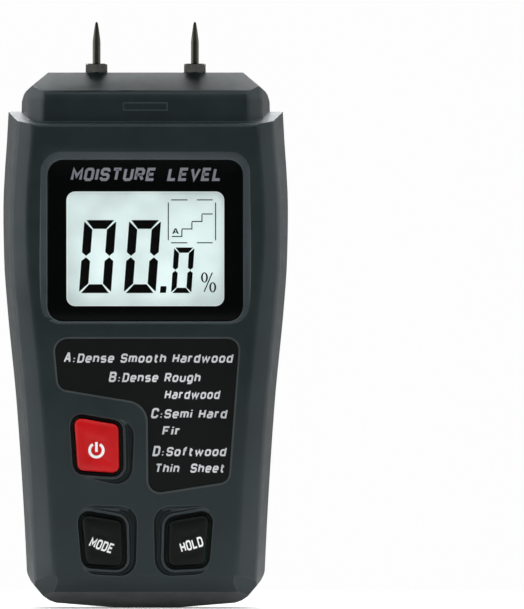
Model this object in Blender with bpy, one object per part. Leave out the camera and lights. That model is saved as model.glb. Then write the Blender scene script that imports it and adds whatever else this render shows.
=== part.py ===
"""Two-pin moisture meter, standing upright: +Z towards the pins, front face towards -Y.

All driving dimensions are in millimetres; MM turns them into metres when a mesh is made.
"""

import math

import bmesh
import bpy
from mathutils import Matrix, Vector

MM = 0.001

# overall shape: (height, value) knots, joined by smooth monotone curves
HALF_WIDTH = ((-3, 29.8), (16, 30.6), (31, 31.4), (53, 32.9), (77, 35.2), (89, 36.0), (101, 36.2), (126, 34.8))
FRONT_FACE = ((-3, -9.6), (8, -10.8), (14, -11.6), (30, -13.35), (54, -15.7), (66, -16.3), (90, -17.2), (160, -17.2))
FRONT_EDGE = ((-3, -5.4), (14, -6.8), (35, -10.1), (51, -11.8), (64, -12.6), (79, -13.4), (160, -13.6))
REAR_FACE = ((-3, 15.9), (20, 14.9), (51, 13.8), (74, 13.8), (87, 14.65), (97, 16.4), (104, 17.2), (160, 17.2))
REAR_EDGE = ((-3, 8.9), (12, 8.3), (35, 6.5), (51, 5.6), (69, 5.6), (85, 7.5), (99, 11.9), (108, 13.2), (160, 13.2))
PARTING = ((-3, 5.3), (12, 2.75), (24, 0.8), (51, -2.4), (74, -3.6), (84, -3.9), (96, -3.4), (126, -1.0), (160, -1.0))
FRONT_BEVEL = ((-3, 5.3), (40, 5.0), (73, 4.8), (95, 4.3), (160, 4.1))
FRONT_DRAFT = 0.21
REAR_DRAFT = 0.14
REAR_BEVEL_SLOPE = 1.2

EDGE_RADIUS = 3.0
SEAM_CORNERS = (2, 7)
FOOT_RADIUS = 7.0

WALL = 2.2
GAP = 0.3
RAIL_INSET = 2.9
RAIL_THICKNESS = 1.0
RAIL_REACH = 1.3
SHOULDER_EDGE_Z = 122.9
SHOULDER_RIDGE_Z = 126.2
SHOULDER_RADIUS = 1.0
BODY_HALF_DEPTH = 17.2
RIDGE_Y = -1.0

HEAD_TOP_Z = 136.1
HEAD_HALF_WIDTH = 31.8
HEAD_HALF_DEPTH = 14.4
HEAD_SIDE_HALF_WIDTH = 29.9
HEAD_FLAT_HALF_WIDTH = 26.0
HEAD_EDGE_Y = 10.4
HEAD_EDGE_Z = 131.0

CAP_TOP_Z = 153.5
CAP_TRAVEL = 34.0
CAP_WIDTH = ((118, 35.3), (126, 34.8), (140, 33.9), (160, 32.4))
RIB_HEIGHTS = (129.6, 133.1, 136.5)
RIB_THICKNESS = 1.7
RIB_SPAN = (-4.5, 6.3)

PIN_X = 12.5
PIN_RADIUS = 1.0
PIN_TIP_Z = 149.0
PIN_TAPER_Z = 144.0
NUT_ACROSS_FLATS = 5.5
NUT_HEIGHT = 2.0

WINDOW = (24.9, 72.8, 113.9, 3.9)
BEZEL = (26.5, 72.1, 115.9, 4.9)
WINDOW_Y = -16.35
LCD_VIEW = (20.0, 76.75, 105.8, 2.2)
LEDGE_BACK_Y = -14.3

BOARD_FRONT_Y = -5.6
BOARD_BACK_Y = -4.4

KEY_PROUD = 1.6
POWER_KEY = ((-18.1, 48.6), (-6.8, 46.65), (-6.6, 34.4), (-17.2, 35.1))
MODE_KEY = ((-16.2, 24.0), (-6.0, 22.2), (-5.7, 10.8), (-15.1, 11.3))
HOLD_KEY = ((16.2, 24.0), (15.1, 11.3), (5.7, 10.8), (6.0, 22.2))
POWER_TERRACE = ((-19.0, 49.8), (-2.7, 47.4), (-3.4, 30.6), (-17.9, 33.8))
MODE_TERRACE = ((-17.6, 26.4), (-2.0, 25.9), (-2.4, 7.9), (-16.4, 8.8))
HOLD_TERRACE = ((17.6, 26.4), (16.4, 8.8), (2.4, 7.9), (2.0, 25.9))
TERRACE_DEPTH = 0.55
LEGEND = (
    (-23.2, 68.45, 3.2), (-22.0, 55.75, 2.6), (0.6, 52.0, 5.5),
    (0.75, 29.0, 3.0), (21.1, 32.2, 2.6), (23.85, 68.45, 2.8),
)

DOOR = ((-25.3, 118.3), (-25.3, 92.2), (-21.0, 86.05), (21.0, 86.05), (25.3, 92.2), (25.3, 118.3))
DOOR_THICKNESS = 1.6
DOOR_FOOT_SLACK = 0.5
DOOR_PIVOT_Z = 87.2
BATTERY = (-24.25, 22.15, -4.05, 13.35, 91.6, 118.1)

SCREWS = ((-17.5, 29.2), (17.5, 29.2), (-18.5, 66.5), (18.5, 66.5))
SCREW_HEAD_RADIUS = 2.6
BOARD_SCREW = (8.0, 29.0)
POST_RADIUS = 3.4


# ---------------------------------------------------------------- small helpers

def curve(knots, z):
    """Monotone cubic through the knots."""
    if z <= knots[0][0]:
        return knots[0][1]
    if z >= knots[-1][0]:
        return knots[-1][1]
    steps = [(b[1] - a[1]) / (b[0] - a[0]) for a, b in zip(knots, knots[1:])]
    i = max(k for k in range(len(steps)) if knots[k][0] <= z)
    slope = []
    for k in (i, i + 1):
        if k == 0 or k == len(steps):
            slope.append(steps[min(k, len(steps) - 1)])
        elif steps[k - 1] * steps[k] <= 0:
            slope.append(0.0)
        else:
            slope.append(2 * steps[k - 1] * steps[k] / (steps[k - 1] + steps[k]))
    h = knots[i + 1][0] - knots[i][0]
    t = (z - knots[i][0]) / h
    a, b = knots[i][1], knots[i + 1][1]
    rise = (2 * t**3 - 3 * t**2 + 1) * a + (3 * t**2 - 2 * t**3) * b
    return rise + h * ((t**3 - 2 * t**2 + t) * slope[0] + (t**3 - t**2) * slope[1])


def inset_loop(points, amount):
    """Move every edge of a convex anticlockwise loop inwards by amount."""
    result = []
    for i, p in enumerate(points):
        a = Vector(p) - Vector(points[i - 1])
        b = Vector(points[(i + 1) % len(points)]) - Vector(p)
        na = Vector((-a.y, a.x)).normalized()
        nb = Vector((-b.y, b.x)).normalized()
        shift = (na + nb) * (amount / (1 + na.dot(nb)))
        result.append((p[0] + shift.x, p[1] + shift.y))
    return result


def anticlockwise(points):
    area = sum(a[0] * b[1] - b[0] * a[1] for a, b in zip(points, points[1:] + points[:1]))
    return list(points) if area > 0 else list(reversed(points))


def corner_arc(before, corner, after, radius, steps):
    """Points of the arc that rounds one corner of an outline."""
    p = Vector(corner[:2])
    a, b = Vector(before[:2]) - p, Vector(after[:2]) - p
    half = a.angle(b) / 2
    reach = min(radius / math.tan(half), 0.45 * a.length, 0.45 * b.length)
    centre = p + (a.normalized() + b.normalized()).normalized() * (reach / math.cos(half))
    start = p + a.normalized() * reach - centre
    turn = math.copysign(math.pi - 2 * half, (-a).cross(b))
    arms = [Matrix.Rotation(turn * k / steps, 2) @ start for k in range(steps + 1)]
    return [(centre.x + arm.x, centre.y + arm.y) for arm in arms]


def rounded(points, radius=0.0, steps=4):
    """Round every corner of a closed outline; a corner's third value is a radius of its own."""
    corners = anticlockwise(list(points))
    result = []
    for i, corner in enumerate(corners):
        own = corner[2] if len(corner) > 2 else radius
        result += corner_arc(corners[i - 1], corner, corners[(i + 1) % len(corners)], own, steps)
    return result


def eased_section(loop):
    """Round a ten-sided section's corners, except the two on the seam."""
    result = []
    for i, corner in enumerate(loop):
        if i in SEAM_CORNERS:
            result.append(corner)
        else:
            result += corner_arc(loop[i - 1], corner, loop[(i + 1) % len(loop)], EDGE_RADIUS, 2)
    return result


def eased_edge(point, first, second, radius):
    """Two planes that round off the edge where two planes meet."""
    a, b = Vector(first).normalized(), Vector(second).normalized()
    centre = Vector(point) - (a + b) * (radius / (1 + a.dot(b)))
    return [(centre + n * radius, n) for n in (a.slerp(b, 1 / 3), a.slerp(b, 2 / 3))]


def rectangle(half_width, z0, z1, radius, steps=5):
    corners = [(-half_width, z0), (half_width, z0), (half_width, z1), (-half_width, z1)]
    return rounded(corners, radius, steps)


def loft(rings, closed=True):
    """A closed body from rings of equal length."""
    bm = bmesh.new()
    rows = [[bm.verts.new(p) for p in ring] for ring in rings]
    for low, high in zip(rows, rows[1:]):
        for i in range(len(low)):
            j = (i + 1) % len(low)
            bm.faces.new((low[i], low[j], high[j], high[i]))
    if closed:
        bm.faces.new(list(reversed(rows[0])))
        bm.faces.new(rows[-1])
    bmesh.ops.recalc_face_normals(bm, faces=bm.faces)
    return bm


def prism(outline, y0, y1):
    """An outline in the XZ plane, pulled along Y."""
    return loft([[(x, y0, z) for x, z in outline], [(x, y1, z) for x, z in outline]])


def box(x0, x1, y0, y1, z0, z1):
    return prism([(x0, z0), (x1, z0), (x1, z1), (x0, z1)], y0, y1)


def turned(profile, centre, axis="Z", sides=24):
    """Profile of (radius, height) pairs turned about an axis through centre."""
    rings = []
    for radius, height in profile:
        ring = []
        for k in range(sides):
            a = 2 * math.pi * k / sides
            c, s = radius * math.cos(a), radius * math.sin(a)
            if axis == "Z":
                ring.append((centre[0] + c, centre[1] + s, height))
            elif axis == "Y":
                ring.append((centre[0] + c, height, centre[1] + s))
            else:
                ring.append((height, centre[0] + c, centre[1] + s))
        rings.append(ring)
    return loft(rings)


def tube(points, radius, sides=8):
    """A wire through the points."""
    path = [Vector(p) for p in points]
    rings = []
    side = None
    for i, p in enumerate(path):
        ahead = (path[min(i + 1, len(path) - 1)] - path[max(i - 1, 0)]).normalized()
        guess = side if side else (Vector((0, 0, 1)) if abs(ahead.z) < 0.9 else Vector((1, 0, 0)))
        side = (guess - ahead * guess.dot(ahead)).normalized()
        other = ahead.cross(side)
        angles = [2 * math.pi * k / sides for k in range(sides)]
        rings.append([p + radius * (side * math.cos(a) + other * math.sin(a)) for a in angles])
    return loft(rings)


def arc_path(start, bend, end, steps=10):
    """Points of a smooth curve from start to end, pulled towards bend."""
    a, b, c = Vector(start), Vector(bend), Vector(end)
    return [a * (1 - t) ** 2 + 2 * b * t * (1 - t) + c * t * t for t in (k / steps for k in range(steps + 1))]


def draped(outline, y_out, y_in, step=4.0):
    """A plate whose two sides follow y_out(z) and y_in(z)."""
    bm = prism(outline, 0.0, 1.0)
    low = min(z for _, z in outline)
    high = max(z for _, z in outline)
    count = max(1, int((high - low) / step))
    for k in range(1, count):
        level = low + (high - low) * k / count
        geometry = bm.verts[:] + bm.edges[:] + bm.faces[:]
        bmesh.ops.bisect_plane(bm, geom=geometry, plane_co=(0, 0, level), plane_no=(0, 0, 1), dist=0.0001)
    bmesh.ops.triangulate(bm, faces=bm.faces)
    for v in bm.verts:
        v.co.y = y_out(v.co.z) if v.co.y < 0.5 else y_in(v.co.z)
    return bm


def trim(bm, point, normal):
    """Cut away what lies beyond a plane and close the cut."""
    geometry = bm.verts[:] + bm.edges[:] + bm.faces[:]
    cut = bmesh.ops.bisect_plane(
        bm, geom=geometry, plane_co=point, plane_no=normal, clear_outer=True, dist=0.0001
    )
    rim = [e for e in cut["geom_cut"] if isinstance(e, bmesh.types.BMEdge)]
    if rim:
        bmesh.ops.contextual_create(bm, geom=rim)
        bmesh.ops.recalc_face_normals(bm, faces=bm.faces)


def merged(target, *others):
    """Gather several closed meshes into one for use as a cutter or a union operand."""
    for other in others:
        scratch = bpy.data.meshes.new("scratch")
        other.to_mesh(scratch)
        other.free()
        target.from_mesh(scratch)
        bpy.data.meshes.remove(scratch)
    return target


def material(name, colour, roughness, metallic=0.0):
    mat = bpy.data.materials.new(name)
    mat.use_nodes = True
    shader = mat.node_tree.nodes["Principled BSDF"]
    shader.inputs["Base Color"].default_value = (*colour, 1.0)
    shader.inputs["Roughness"].default_value = roughness
    shader.inputs["Metallic"].default_value = metallic
    mat.diffuse_color = (*colour, 1.0)
    return mat


def node(name, bm, look, pivot=(0.0, 0.0, 0.0)):
    """Make a named object from a millimetre mesh, with its origin at pivot."""
    bmesh.ops.remove_doubles(bm, verts=bm.verts, dist=0.0002)
    bmesh.ops.connect_verts_nonplanar(bm, angle_limit=0.001, faces=bm.faces)
    bmesh.ops.recalc_face_normals(bm, faces=bm.faces)
    for v in bm.verts:
        v.co = (v.co - Vector(pivot)) * MM
    mesh = bpy.data.meshes.new(name)
    bm.to_mesh(mesh)
    bm.free()
    obj = bpy.data.objects.new(name, mesh)
    obj.location = Vector(pivot) * MM
    bpy.context.scene.collection.objects.link(obj)
    mesh.materials.append(look)
    return obj


def combine(obj, bm, operation, name):
    """Apply a Boolean with a cutter that is then removed."""
    tool = node(name, bm, obj.data.materials[0])
    tool.hide_render = True
    tool.display_type = "WIRE"
    change = obj.modifiers.new(name, "BOOLEAN")
    change.operation = operation
    change.solver = "EXACT"
    change.object = tool
    bpy.context.view_layer.update()
    graph = bpy.context.evaluated_depsgraph_get()
    result = bpy.data.meshes.new_from_object(obj.evaluated_get(graph))
    obj.modifiers.clear()
    old = obj.data
    obj.data = result
    result.name = obj.name
    bpy.data.meshes.remove(old)
    bpy.data.objects.remove(tool)


def cut(obj, bm, name="cutter"):
    combine(obj, bm, "DIFFERENCE", name)


def join(obj, bm, name="addition"):
    combine(obj, bm, "UNION", name)


def shade(obj, angle=28):
    """Smooth shading with hard edges where the surface turns sharply."""
    bm = bmesh.new()
    bm.from_mesh(obj.data)
    bmesh.ops.dissolve_degenerate(bm, edges=bm.edges, dist=1e-7)
    for face in bm.faces:
        face.smooth = True
    for edge in bm.edges:
        edge.smooth = edge.calc_face_angle(0.0) < math.radians(angle)
    bm.to_mesh(obj.data)
    bm.free()


# ---------------------------------------------------------------- outer surfaces

def front_y(z):
    return curve(FRONT_FACE, z)


def rear_y(z):
    return curve(REAR_FACE, z)


def body_section(z, inset):
    """Ten-sided section of the housing at one height."""
    w = curve(HALF_WIDTH, z)
    mid, front, rear = curve(PARTING, z), curve(FRONT_EDGE, z), curve(REAR_EDGE, z)
    side = w - FRONT_DRAFT * (mid - front)
    flat = side - curve(FRONT_BEVEL, z)
    back = w - REAR_DRAFT * (rear - mid)
    back_flat = back - REAR_BEVEL_SLOPE * (rear_y(z) - rear)
    right = [(flat, front_y(z)), (side, front), (w, mid), (back, rear), (back_flat, rear_y(z))]
    loop = right + [(-x, y) for x, y in reversed(right)]
    loop = inset_loop(loop, inset) if inset else eased_section(loop)
    return [(x, y, z) for x, y in loop]


def shoulder_planes(raise_by):
    """Two planes that make the roof-shaped shoulder under the cap."""
    rise = SHOULDER_RIDGE_Z - SHOULDER_EDGE_Z
    ridge = (0, RIDGE_Y, SHOULDER_RIDGE_Z + raise_by)
    front = Vector((0, -rise, BODY_HALF_DEPTH + RIDGE_Y)).normalized()
    rear = Vector((0, rise, BODY_HALF_DEPTH - RIDGE_Y)).normalized()
    return (ridge, front), (ridge, rear)


def foot_planes():
    """Planes of the chevron foot: bottom faces, heel, toe and corners."""
    planes = [
        ((0, -7.4, 4.1), (0, -0.72, -0.70)),
        ((0, 4.4, 0.0), (0, -0.33, -0.945)),
        ((0, 4.4, 0.0), (0, 0.255, -0.967)),
        ((0, 12.1, 2.0), (0, 0.84, -0.54)),
    ]
    for side in (-1, 1):
        planes.append(((side * 25.3, 4.4, 2.2), (side * 0.767, 0, -0.641)))
        planes.append(((side * 8.0, 4.4, 0.0), (side * 0.085, 0, -0.996)))
        planes.append(((side * 22.3, -9.2, 5.6), (side * 0.50, -0.71, -0.50)))
        planes.append(((side * 22.8, 13.0, 4.2), (side * 0.50, 0.71, -0.50)))
    return planes


def foot_easing():
    """Planes that round the foot's edges: face to toe, side to corner and corner to bottom."""
    planes = eased_edge((0, -10.9, 7.7), (0, -0.985, -0.17), (0, -0.72, -0.70), FOOT_RADIUS)
    for side in (-1, 1):
        slope = (side * 0.767, 0, -0.641)
        planes += eased_edge((side * 30.35, 4.4, 8.3), (side, 0, -0.05), slope, FOOT_RADIUS)
        planes += eased_edge((side * 24.65, 4.4, 1.42), slope, (side * 0.085, 0, -0.996), FOOT_RADIUS)
    return planes


def body_blank(inset):
    stations = [-3, 4, 8, 12, 16, 20, 24, 28, 32, 36, 40, 45, 50, 55, 60, 65, 70, 74, 78, 82, 86, 90, 94, 98, 102, 106,
                112, 118, 128]
    bm = loft([body_section(z, inset) for z in stations])
    for point, normal in foot_planes():
        n = Vector(normal).normalized()
        trim(bm, Vector(point) - n * inset, n)
    if not inset:
        for point, normal in foot_easing():
            trim(bm, point, normal)
    for point, normal in shoulder_planes(-inset):
        trim(bm, point, normal)
        if not inset:
            side = math.copysign(1, normal.y)
            edge = (0, side * BODY_HALF_DEPTH, SHOULDER_EDGE_Z)
            for place, n in eased_edge(edge, (0, side, 0), normal, SHOULDER_RADIUS):
                trim(bm, place, n)
    return bm


def head_blank(inset, foot_z):
    right = [
        (HEAD_FLAT_HALF_WIDTH, -HEAD_HALF_DEPTH),
        (HEAD_SIDE_HALF_WIDTH, -HEAD_EDGE_Y),
        (HEAD_HALF_WIDTH, RIDGE_Y),
        (HEAD_SIDE_HALF_WIDTH, HEAD_EDGE_Y),
        (HEAD_FLAT_HALF_WIDTH, HEAD_HALF_DEPTH),
    ]
    loop = right + [(-x, y) for x, y in reversed(right)]
    loop = inset_loop(loop, inset) if inset else eased_section(loop)
    lean = 0.985
    bm = loft([[(x, y, foot_z) for x, y in loop], [(x * lean, y, HEAD_TOP_Z + 1) for x, y in loop]])
    top, front, rear = Vector((0, 0, 1)), Vector((0, -0.46, 0.888)), Vector((0, 0.79, 0.61))
    front_edge, rear_edge = (0, -HEAD_HALF_DEPTH, HEAD_EDGE_Z), (0, HEAD_HALF_DEPTH, HEAD_EDGE_Z)
    planes = [((0, 0, HEAD_TOP_Z), top), (front_edge, front), (rear_edge, rear)]
    planes += eased_edge(front_edge, (0, -1, 0), front, 2.2)
    planes += eased_edge(rear_edge, (0, 1, 0), rear, 2.2)
    for side in (-1, 1):
        corner, slope = (side * 31.3, 0, 130.5), Vector((side * 0.65, 0, 0.76))
        planes.append((corner, slope))
        planes += eased_edge(corner, (side, 0, 0), slope, 3.5)
    for point, normal in planes:
        n = normal.normalized()
        trim(bm, Vector(point) - n * inset, n)
    return bm


def cap_section(z, inset):
    """Ten-sided section of the cap at one height."""
    w = curve(CAP_WIDTH, z)
    middle = 0.6
    right = [
        (w - 7.0, -BODY_HALF_DEPTH),
        (w - 2.4, -11.7),
        (w, middle),
        (w - 2.0, 12.8),
        (w - 6.8, BODY_HALF_DEPTH),
    ]
    loop = right + [(-x, y) for x, y in reversed(right)]
    loop = inset_loop(loop, inset) if inset else eased_section(loop)
    return [(x, y, z) for x, y in loop]


def cap_blank(inset):
    bm = loft([cap_section(z, inset) for z in (116, 126, 133, 140, 148, 156)])
    planes = [
        ((0, 2.0, CAP_TOP_Z), (0, 0, 1)),
        ((0, -16.6, 143.9), (0, -0.459, 0.889)),
        ((0, -16.9, 143.0), (0, -0.95, 0.31)),
        ((0, 11.1, 152.4), (0, 0.177, 0.984)),
        ((0, 13.1, 150.8), (0, 0.7, 0.714)),
        ((0, 17.2, 142.4), (0, 0.92, 0.39)),
    ]
    for side in (-1, 1):
        corner, slope = (side * 32.6, 2.6, 150.2), (side * 0.62, 0, 0.785)
        planes.append((corner, slope))
        planes += eased_edge(corner, (side, 0, 0.05), slope, EDGE_RADIUS)
        planes.append(((side * 32.2, -8.1, 144.8), (side * 0.62, -0.42, 0.66)))
        planes.append(((side * 32.0, 10.5, 148.6), (side * 0.62, 0.42, 0.66)))
    for point, normal in planes:
        n = Vector(normal).normalized()
        trim(bm, Vector(point) - n * inset, n)
    return bm


def roof_prism(raise_by):
    """Solid with the shoulder's roof-shaped top, used to shape the cap's lower edge."""
    fall = SHOULDER_RIDGE_Z - SHOULDER_EDGE_Z
    top = SHOULDER_RIDGE_Z + raise_by
    front = (-30.0, top - fall * (30 + RIDGE_Y) / (BODY_HALF_DEPTH + RIDGE_Y))
    rear = (30.0, top - fall * (30 - RIDGE_Y) / (BODY_HALF_DEPTH - RIDGE_Y))
    outline = [front, (RIDGE_Y, top), rear, (30.0, 90.0), (-30.0, 90.0)]
    return loft([[(-60, y, z) for y, z in outline], [(60, y, z) for y, z in outline]])


# ---------------------------------------------------------------- shells

def split_side(direction):
    """Everything in front of (-1) or behind (+1) the parting surface."""
    shift = direction * GAP / 2
    heights = [-6, 0, 6, 12, 18, 24, 32, 40, 48, 56, 64, 72, 80, 88, 96, 104, 112, 120, 126, 160]
    edge = [(curve(PARTING, z) + shift, z) for z in heights]
    outline = edge + [(direction * 60, 160), (direction * 60, -6)]
    return loft([[(-60, y, z) for y, z in outline], [(60, y, z) for y, z in outline]])


def posts(radius):
    bodies = [turned([(radius, -30), (radius, 30)], (x, z), "Y", 20) for x, z in SCREWS]
    return merged(bmesh.new(), *bodies)


def pin_bosses():
    bodies = [turned([(4.6, 121.8), (4.6, 140)], (x, RIDGE_Y), "Z", 24) for x in (-PIN_X, PIN_X)]
    return merged(bmesh.new(), *bodies)


def hollow(look):
    """The room inside the housing, with the posts, bosses and battery shelf left standing."""
    room = node("room", body_blank(WALL), look)
    join(room, head_blank(WALL, 115.0))
    cut(room, posts(POST_RADIUS))
    cut(room, pin_bosses())
    cut(room, box(-40, 40, -2.9, 12.9, 89.4, 90.8))
    join(room, box(-24.6, 24.6, LEDGE_BACK_Y, -9.0, 72.0, 110.5))
    return room


def seam_rail(side):
    """Ledge along the rear shell's rim that stands behind the front shell's rim and closes the seam."""
    rings = []
    for z in [5, 7, 9, 12, 16] + list(range(20, 121, 4)):
        mid = curve(PARTING, z)
        outer = min(curve(HALF_WIDTH, z) - RAIL_INSET, 22.6 + 0.836 * (z - 3.6))
        inner, root = outer - RAIL_THICKNESS, outer + RAIL_INSET - WALL / 2
        section = [
            (inner, mid - RAIL_REACH), (outer, mid - RAIL_REACH), (outer, mid + 0.4),
            (root, mid + 0.4), (root, mid + RAIL_REACH), (inner, mid + RAIL_REACH),
        ]
        rings.append([(side * x, y, z) for x, y in section])
    return loft(rings)


def subtract(obj, tool):
    """Subtract another object and keep that object."""
    bm = bmesh.new()
    bm.from_mesh(tool.data)
    for v in bm.verts:
        v.co = v.co / MM
    cut(obj, bm)


def shell_half(name, direction, look, room):
    half = node(name, body_blank(0.0), look)
    join(half, head_blank(0.0, 118.0))
    subtract(half, room)
    combine(half, split_side(direction), "INTERSECT", "half")
    return half


def pin_bores():
    bodies = []
    for x in (-PIN_X, PIN_X):
        bodies.append(turned([(2.8, 110), (2.8, 134.0)], (x, RIDGE_Y), "Z", 24))
        bodies.append(turned([(1.4, 133), (1.4, 140)], (x, RIDGE_Y), "Z", 20))
    return bodies


def key_outline(corners, grow):
    loop = [Vector(p) for p in rounded(corners, 1.7, 4)]
    return inset_loop([(p.x, p.y) for p in loop], -grow)


def key_terrace(corners, terrace, look):
    """Shallow step beside a key that leaves a low rim standing around its opening."""
    outline = anticlockwise(rounded(terrace, 4.2, 6))
    rings = []
    for grow, depth in ((0.35, -0.5), (0.0, 0.0), (-0.75, TERRACE_DEPTH)):
        rings.append([(x, front_y(z) + depth, z) for x, z in inset_loop(outline, -grow)])
    step = node("terrace", loft(rings), look)
    rim = []
    for grow, depth in ((2.3, 1.5), (2.3, 0.5), (1.7, 0.02), (1.7, -2.0)):
        rim.append([(x, front_y(z) + depth, z) for x, z in key_outline(corners, grow)])
    cut(step, loft(rim))
    return step


def key_mouth(corners):
    """Moat round a key opening: a small chamfer, then a straight wall down to a ledge."""
    rings = []
    for grow, depth in ((1.6, -0.5), (1.2, 0.0), (1.05, 0.2), (1.05, 1.4)):
        rings.append([(x, front_y(z) + depth, z) for x, z in key_outline(corners, grow)])
    return loft(rings)


def front_cutters():
    wide = rectangle(*BEZEL)
    narrow = rectangle(WINDOW[0], WINDOW[1], WINDOW[2], WINDOW[3])
    yield loft([
        [(x * 1.02, -18.2, z) for x, z in inset_loop(wide, -0.6)],
        [(x, front_y(z) - 0.02, z) for x, z in wide],
        [(x, WINDOW_Y, z) for x, z in narrow],
        [(x, -15.05, z) for x, z in narrow],
    ])
    yield prism(rectangle(LCD_VIEW[0] + 0.4, LCD_VIEW[1] - 0.4, LCD_VIEW[2] + 0.4, 2.5), -15.5, -13.0)
    legend = inset_loop(rounded(LEGEND, steps=6), -GAP)
    yield draped(legend, lambda z: front_y(z) - 1.0, lambda z: front_y(z) + 0.9)
    for corners in (POWER_KEY, MODE_KEY, HOLD_KEY):
        yield key_mouth(corners)
        yield prism(key_outline(corners, 0.4), -19.0, -5.0)
    for x, z in SCREWS:
        y_end = front_y(z) + WALL
        yield turned([(1.6, y_end), (1.6, 30)], (x, z), "Y", 16)
    yield from pin_bores()
    yield box(-24.3, 24.3, -14.2, -5.0, 72.2, 110.3)


def front_shell(look, room):
    half = shell_half("front_shell", -1, look, room)
    pairs = ((POWER_KEY, POWER_TERRACE), (MODE_KEY, MODE_TERRACE), (HOLD_KEY, HOLD_TERRACE))
    for corners, terrace in pairs:
        step = key_terrace(corners, terrace, look)
        subtract(half, step)
        bpy.data.objects.remove(step)
    for cutter in front_cutters():
        cut(half, cutter)
    detent = box(-5.55, 5.55, -HEAD_HALF_DEPTH - 0.25, -HEAD_HALF_DEPTH + 1.0, 126.4, 128.3)
    join(half, detent)
    shade(half)
    return half


def rear_cutters():
    opening = inset_loop(anticlockwise(list(DOOR)), -0.35)
    yield prism(opening, 6.0, 30.0)
    for x, z in SCREWS:
        yield turned([(3.1, rear_y(z) - 2.4), (3.1, 30)], (x, z), "Y", 24)
        yield turned([(1.6, -10), (1.6, 30)], (x, z), "Y", 16)
    yield lanyard_hole()
    label = rounded([(-11.0, 37.0), (11.0, 37.0), (11.0, 56.0), (-11.0, 56.0)], 1.5, 4)
    yield draped(label, lambda z: rear_y(z) - 0.65, lambda z: rear_y(z) + 1.0)
    yield from pin_bores()


def lanyard_hole():
    bm = turned([(2.5, -6), (2.5, 12)], (0, 0), "Z", 24)
    direction = Vector((-0.64, 0.77, 0.0))
    turn = direction.to_track_quat("Z", "Y").to_matrix()
    for v in bm.verts:
        v.co = turn @ v.co + Vector((-24.0, 12.0, 9.6))
    return bm


def rear_shell(look, room):
    half = shell_half("rear_shell", 1, look, room)
    for side in (-1, 1):
        join(half, seam_rail(side))
    for cutter in rear_cutters():
        cut(half, cutter)
    shade(half)
    return half


def pin_cap(look):
    cap = node("pin_cap", cap_blank(0.0), look)
    cut(cap, cap_blank(WALL))
    cut(cap, roof_prism(0.35))
    for side in (-1, 1):
        for z in RIB_HEIGHTS:
            w = curve(CAP_WIDTH, z)
            x0, x1 = sorted((side * (w - 1.5), side * (w + 0.55)))
            rib = box(x0, x1, RIB_SPAN[0], RIB_SPAN[1], z - RIB_THICKNESS / 2, z + RIB_THICKNESS / 2)
            join(cap, rib)
    lift(cap, CAP_TRAVEL)
    shade(cap)
    return cap


def lift(obj, amount):
    obj.location.z += amount * MM


def battery_door(look):
    pivot = (0.0, rear_y(DOOR_PIVOT_Z) - DOOR_THICKNESS / 2, DOOR_PIVOT_Z)
    low = min(z for _, z in DOOR)
    outline = anticlockwise([(x, z + DOOR_FOOT_SLACK if z == low else z) for x, z in DOOR])
    door = node("battery_door", draped(outline, lambda z: rear_y(z) - DOOR_THICKNESS, rear_y, 3.0), look, pivot)
    for k in range(4):
        z = 110.0 + 1.7 * k
        groove = box(-7.0 + 0.8 * k, 7.0 - 0.8 * k, 16.7, 18.0, z, z + 0.7)
        cut(door, groove, "grip")
    shade(door)
    return door


# ---------------------------------------------------------------- display

def display_window(look):
    outline = inset_loop(rectangle(*WINDOW), GAP)
    edge = inset_loop(outline, 0.25)
    rings = [
        [(x, WINDOW_Y, z) for x, z in edge],
        [(x, WINDOW_Y + 0.25, z) for x, z in outline],
        [(x, WINDOW_Y + 1.0, z) for x, z in outline],
    ]
    obj = node("display_window", loft(rings), look)
    shade(obj)
    return obj


def display_stack(looks):
    cell = prism(rectangle(21.3, 74.8, 107.7, 0.8, 2), -14.0, -12.3)
    node("lcd_cell", cell, looks["lcd"])
    frame = node("lcd_frame", prism(rectangle(23.9, 72.6, 109.9, 1.0, 3), -14.0, -5.9), looks["black"])
    cut(frame, prism(rectangle(21.65, 74.45, 108.05, 0.8, 2), -20, 0))
    node("lcd_backlight", prism(rectangle(21.2, 78.9, 107.5, 0.8, 2), -12.0, -9.4), looks["diffuser"])
    node("zebra_strip", box(-20.5, 20.5, -12.0, -5.9, 75.2, 77.8), looks["rubber"])


def legend_inlay(look):
    outline = rounded(LEGEND, steps=6)
    plate = draped(outline, lambda z: front_y(z) + 0.08, lambda z: front_y(z) + 0.6)
    shade(node("legend_inlay", plate, look))


def rear_label(look):
    outline = rounded([(-10.7, 37.3), (10.7, 37.3), (10.7, 55.7), (-10.7, 55.7)], 1.2, 4)
    plate = draped(outline, lambda z: rear_y(z) - 0.35, lambda z: rear_y(z) - 0.05)
    shade(node("rear_label", plate, look))


# ---------------------------------------------------------------- keys and switches

def key_centre(corners):
    return sum(x for x, _ in corners) / 4, sum(z for _, z in corners) / 4


def key_body(corners):
    """Flange inside the wall, straight skirt, bevelled and dished top."""
    outer = key_outline(corners, 0.0)
    flange = key_outline(corners, 1.4)
    base = WALL + GAP
    rings = [[(x, front_y(z) + base + 0.8, z) for x, z in flange]]
    rings.append([(x, front_y(z) + base, z) for x, z in flange])
    rings.append([(x, front_y(z) + base, z) for x, z in outer])
    for grow, proud in ((0.0, 0.75), (-0.35, 1.25), (-1.1, KEY_PROUD), (-1.6, KEY_PROUD), (-2.4, KEY_PROUD - 0.25)):
        outline = key_outline(corners, grow)
        rings.append([(x, front_y(z) - proud, z) for x, z in outline])
    return loft(rings)


def key(name, corners, look):
    cx, cz = key_centre(corners)
    pivot = (cx, front_y(cz), cz)
    obj = node(name, key_body(corners), look, pivot)
    if cz > 30:
        stem = turned([(2.0, front_y(cz) + WALL + GAP + 0.4), (2.0, -9.6)], (cx, cz), "Y", 16)
        join(obj, stem)
    shade(obj)
    return obj


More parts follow.
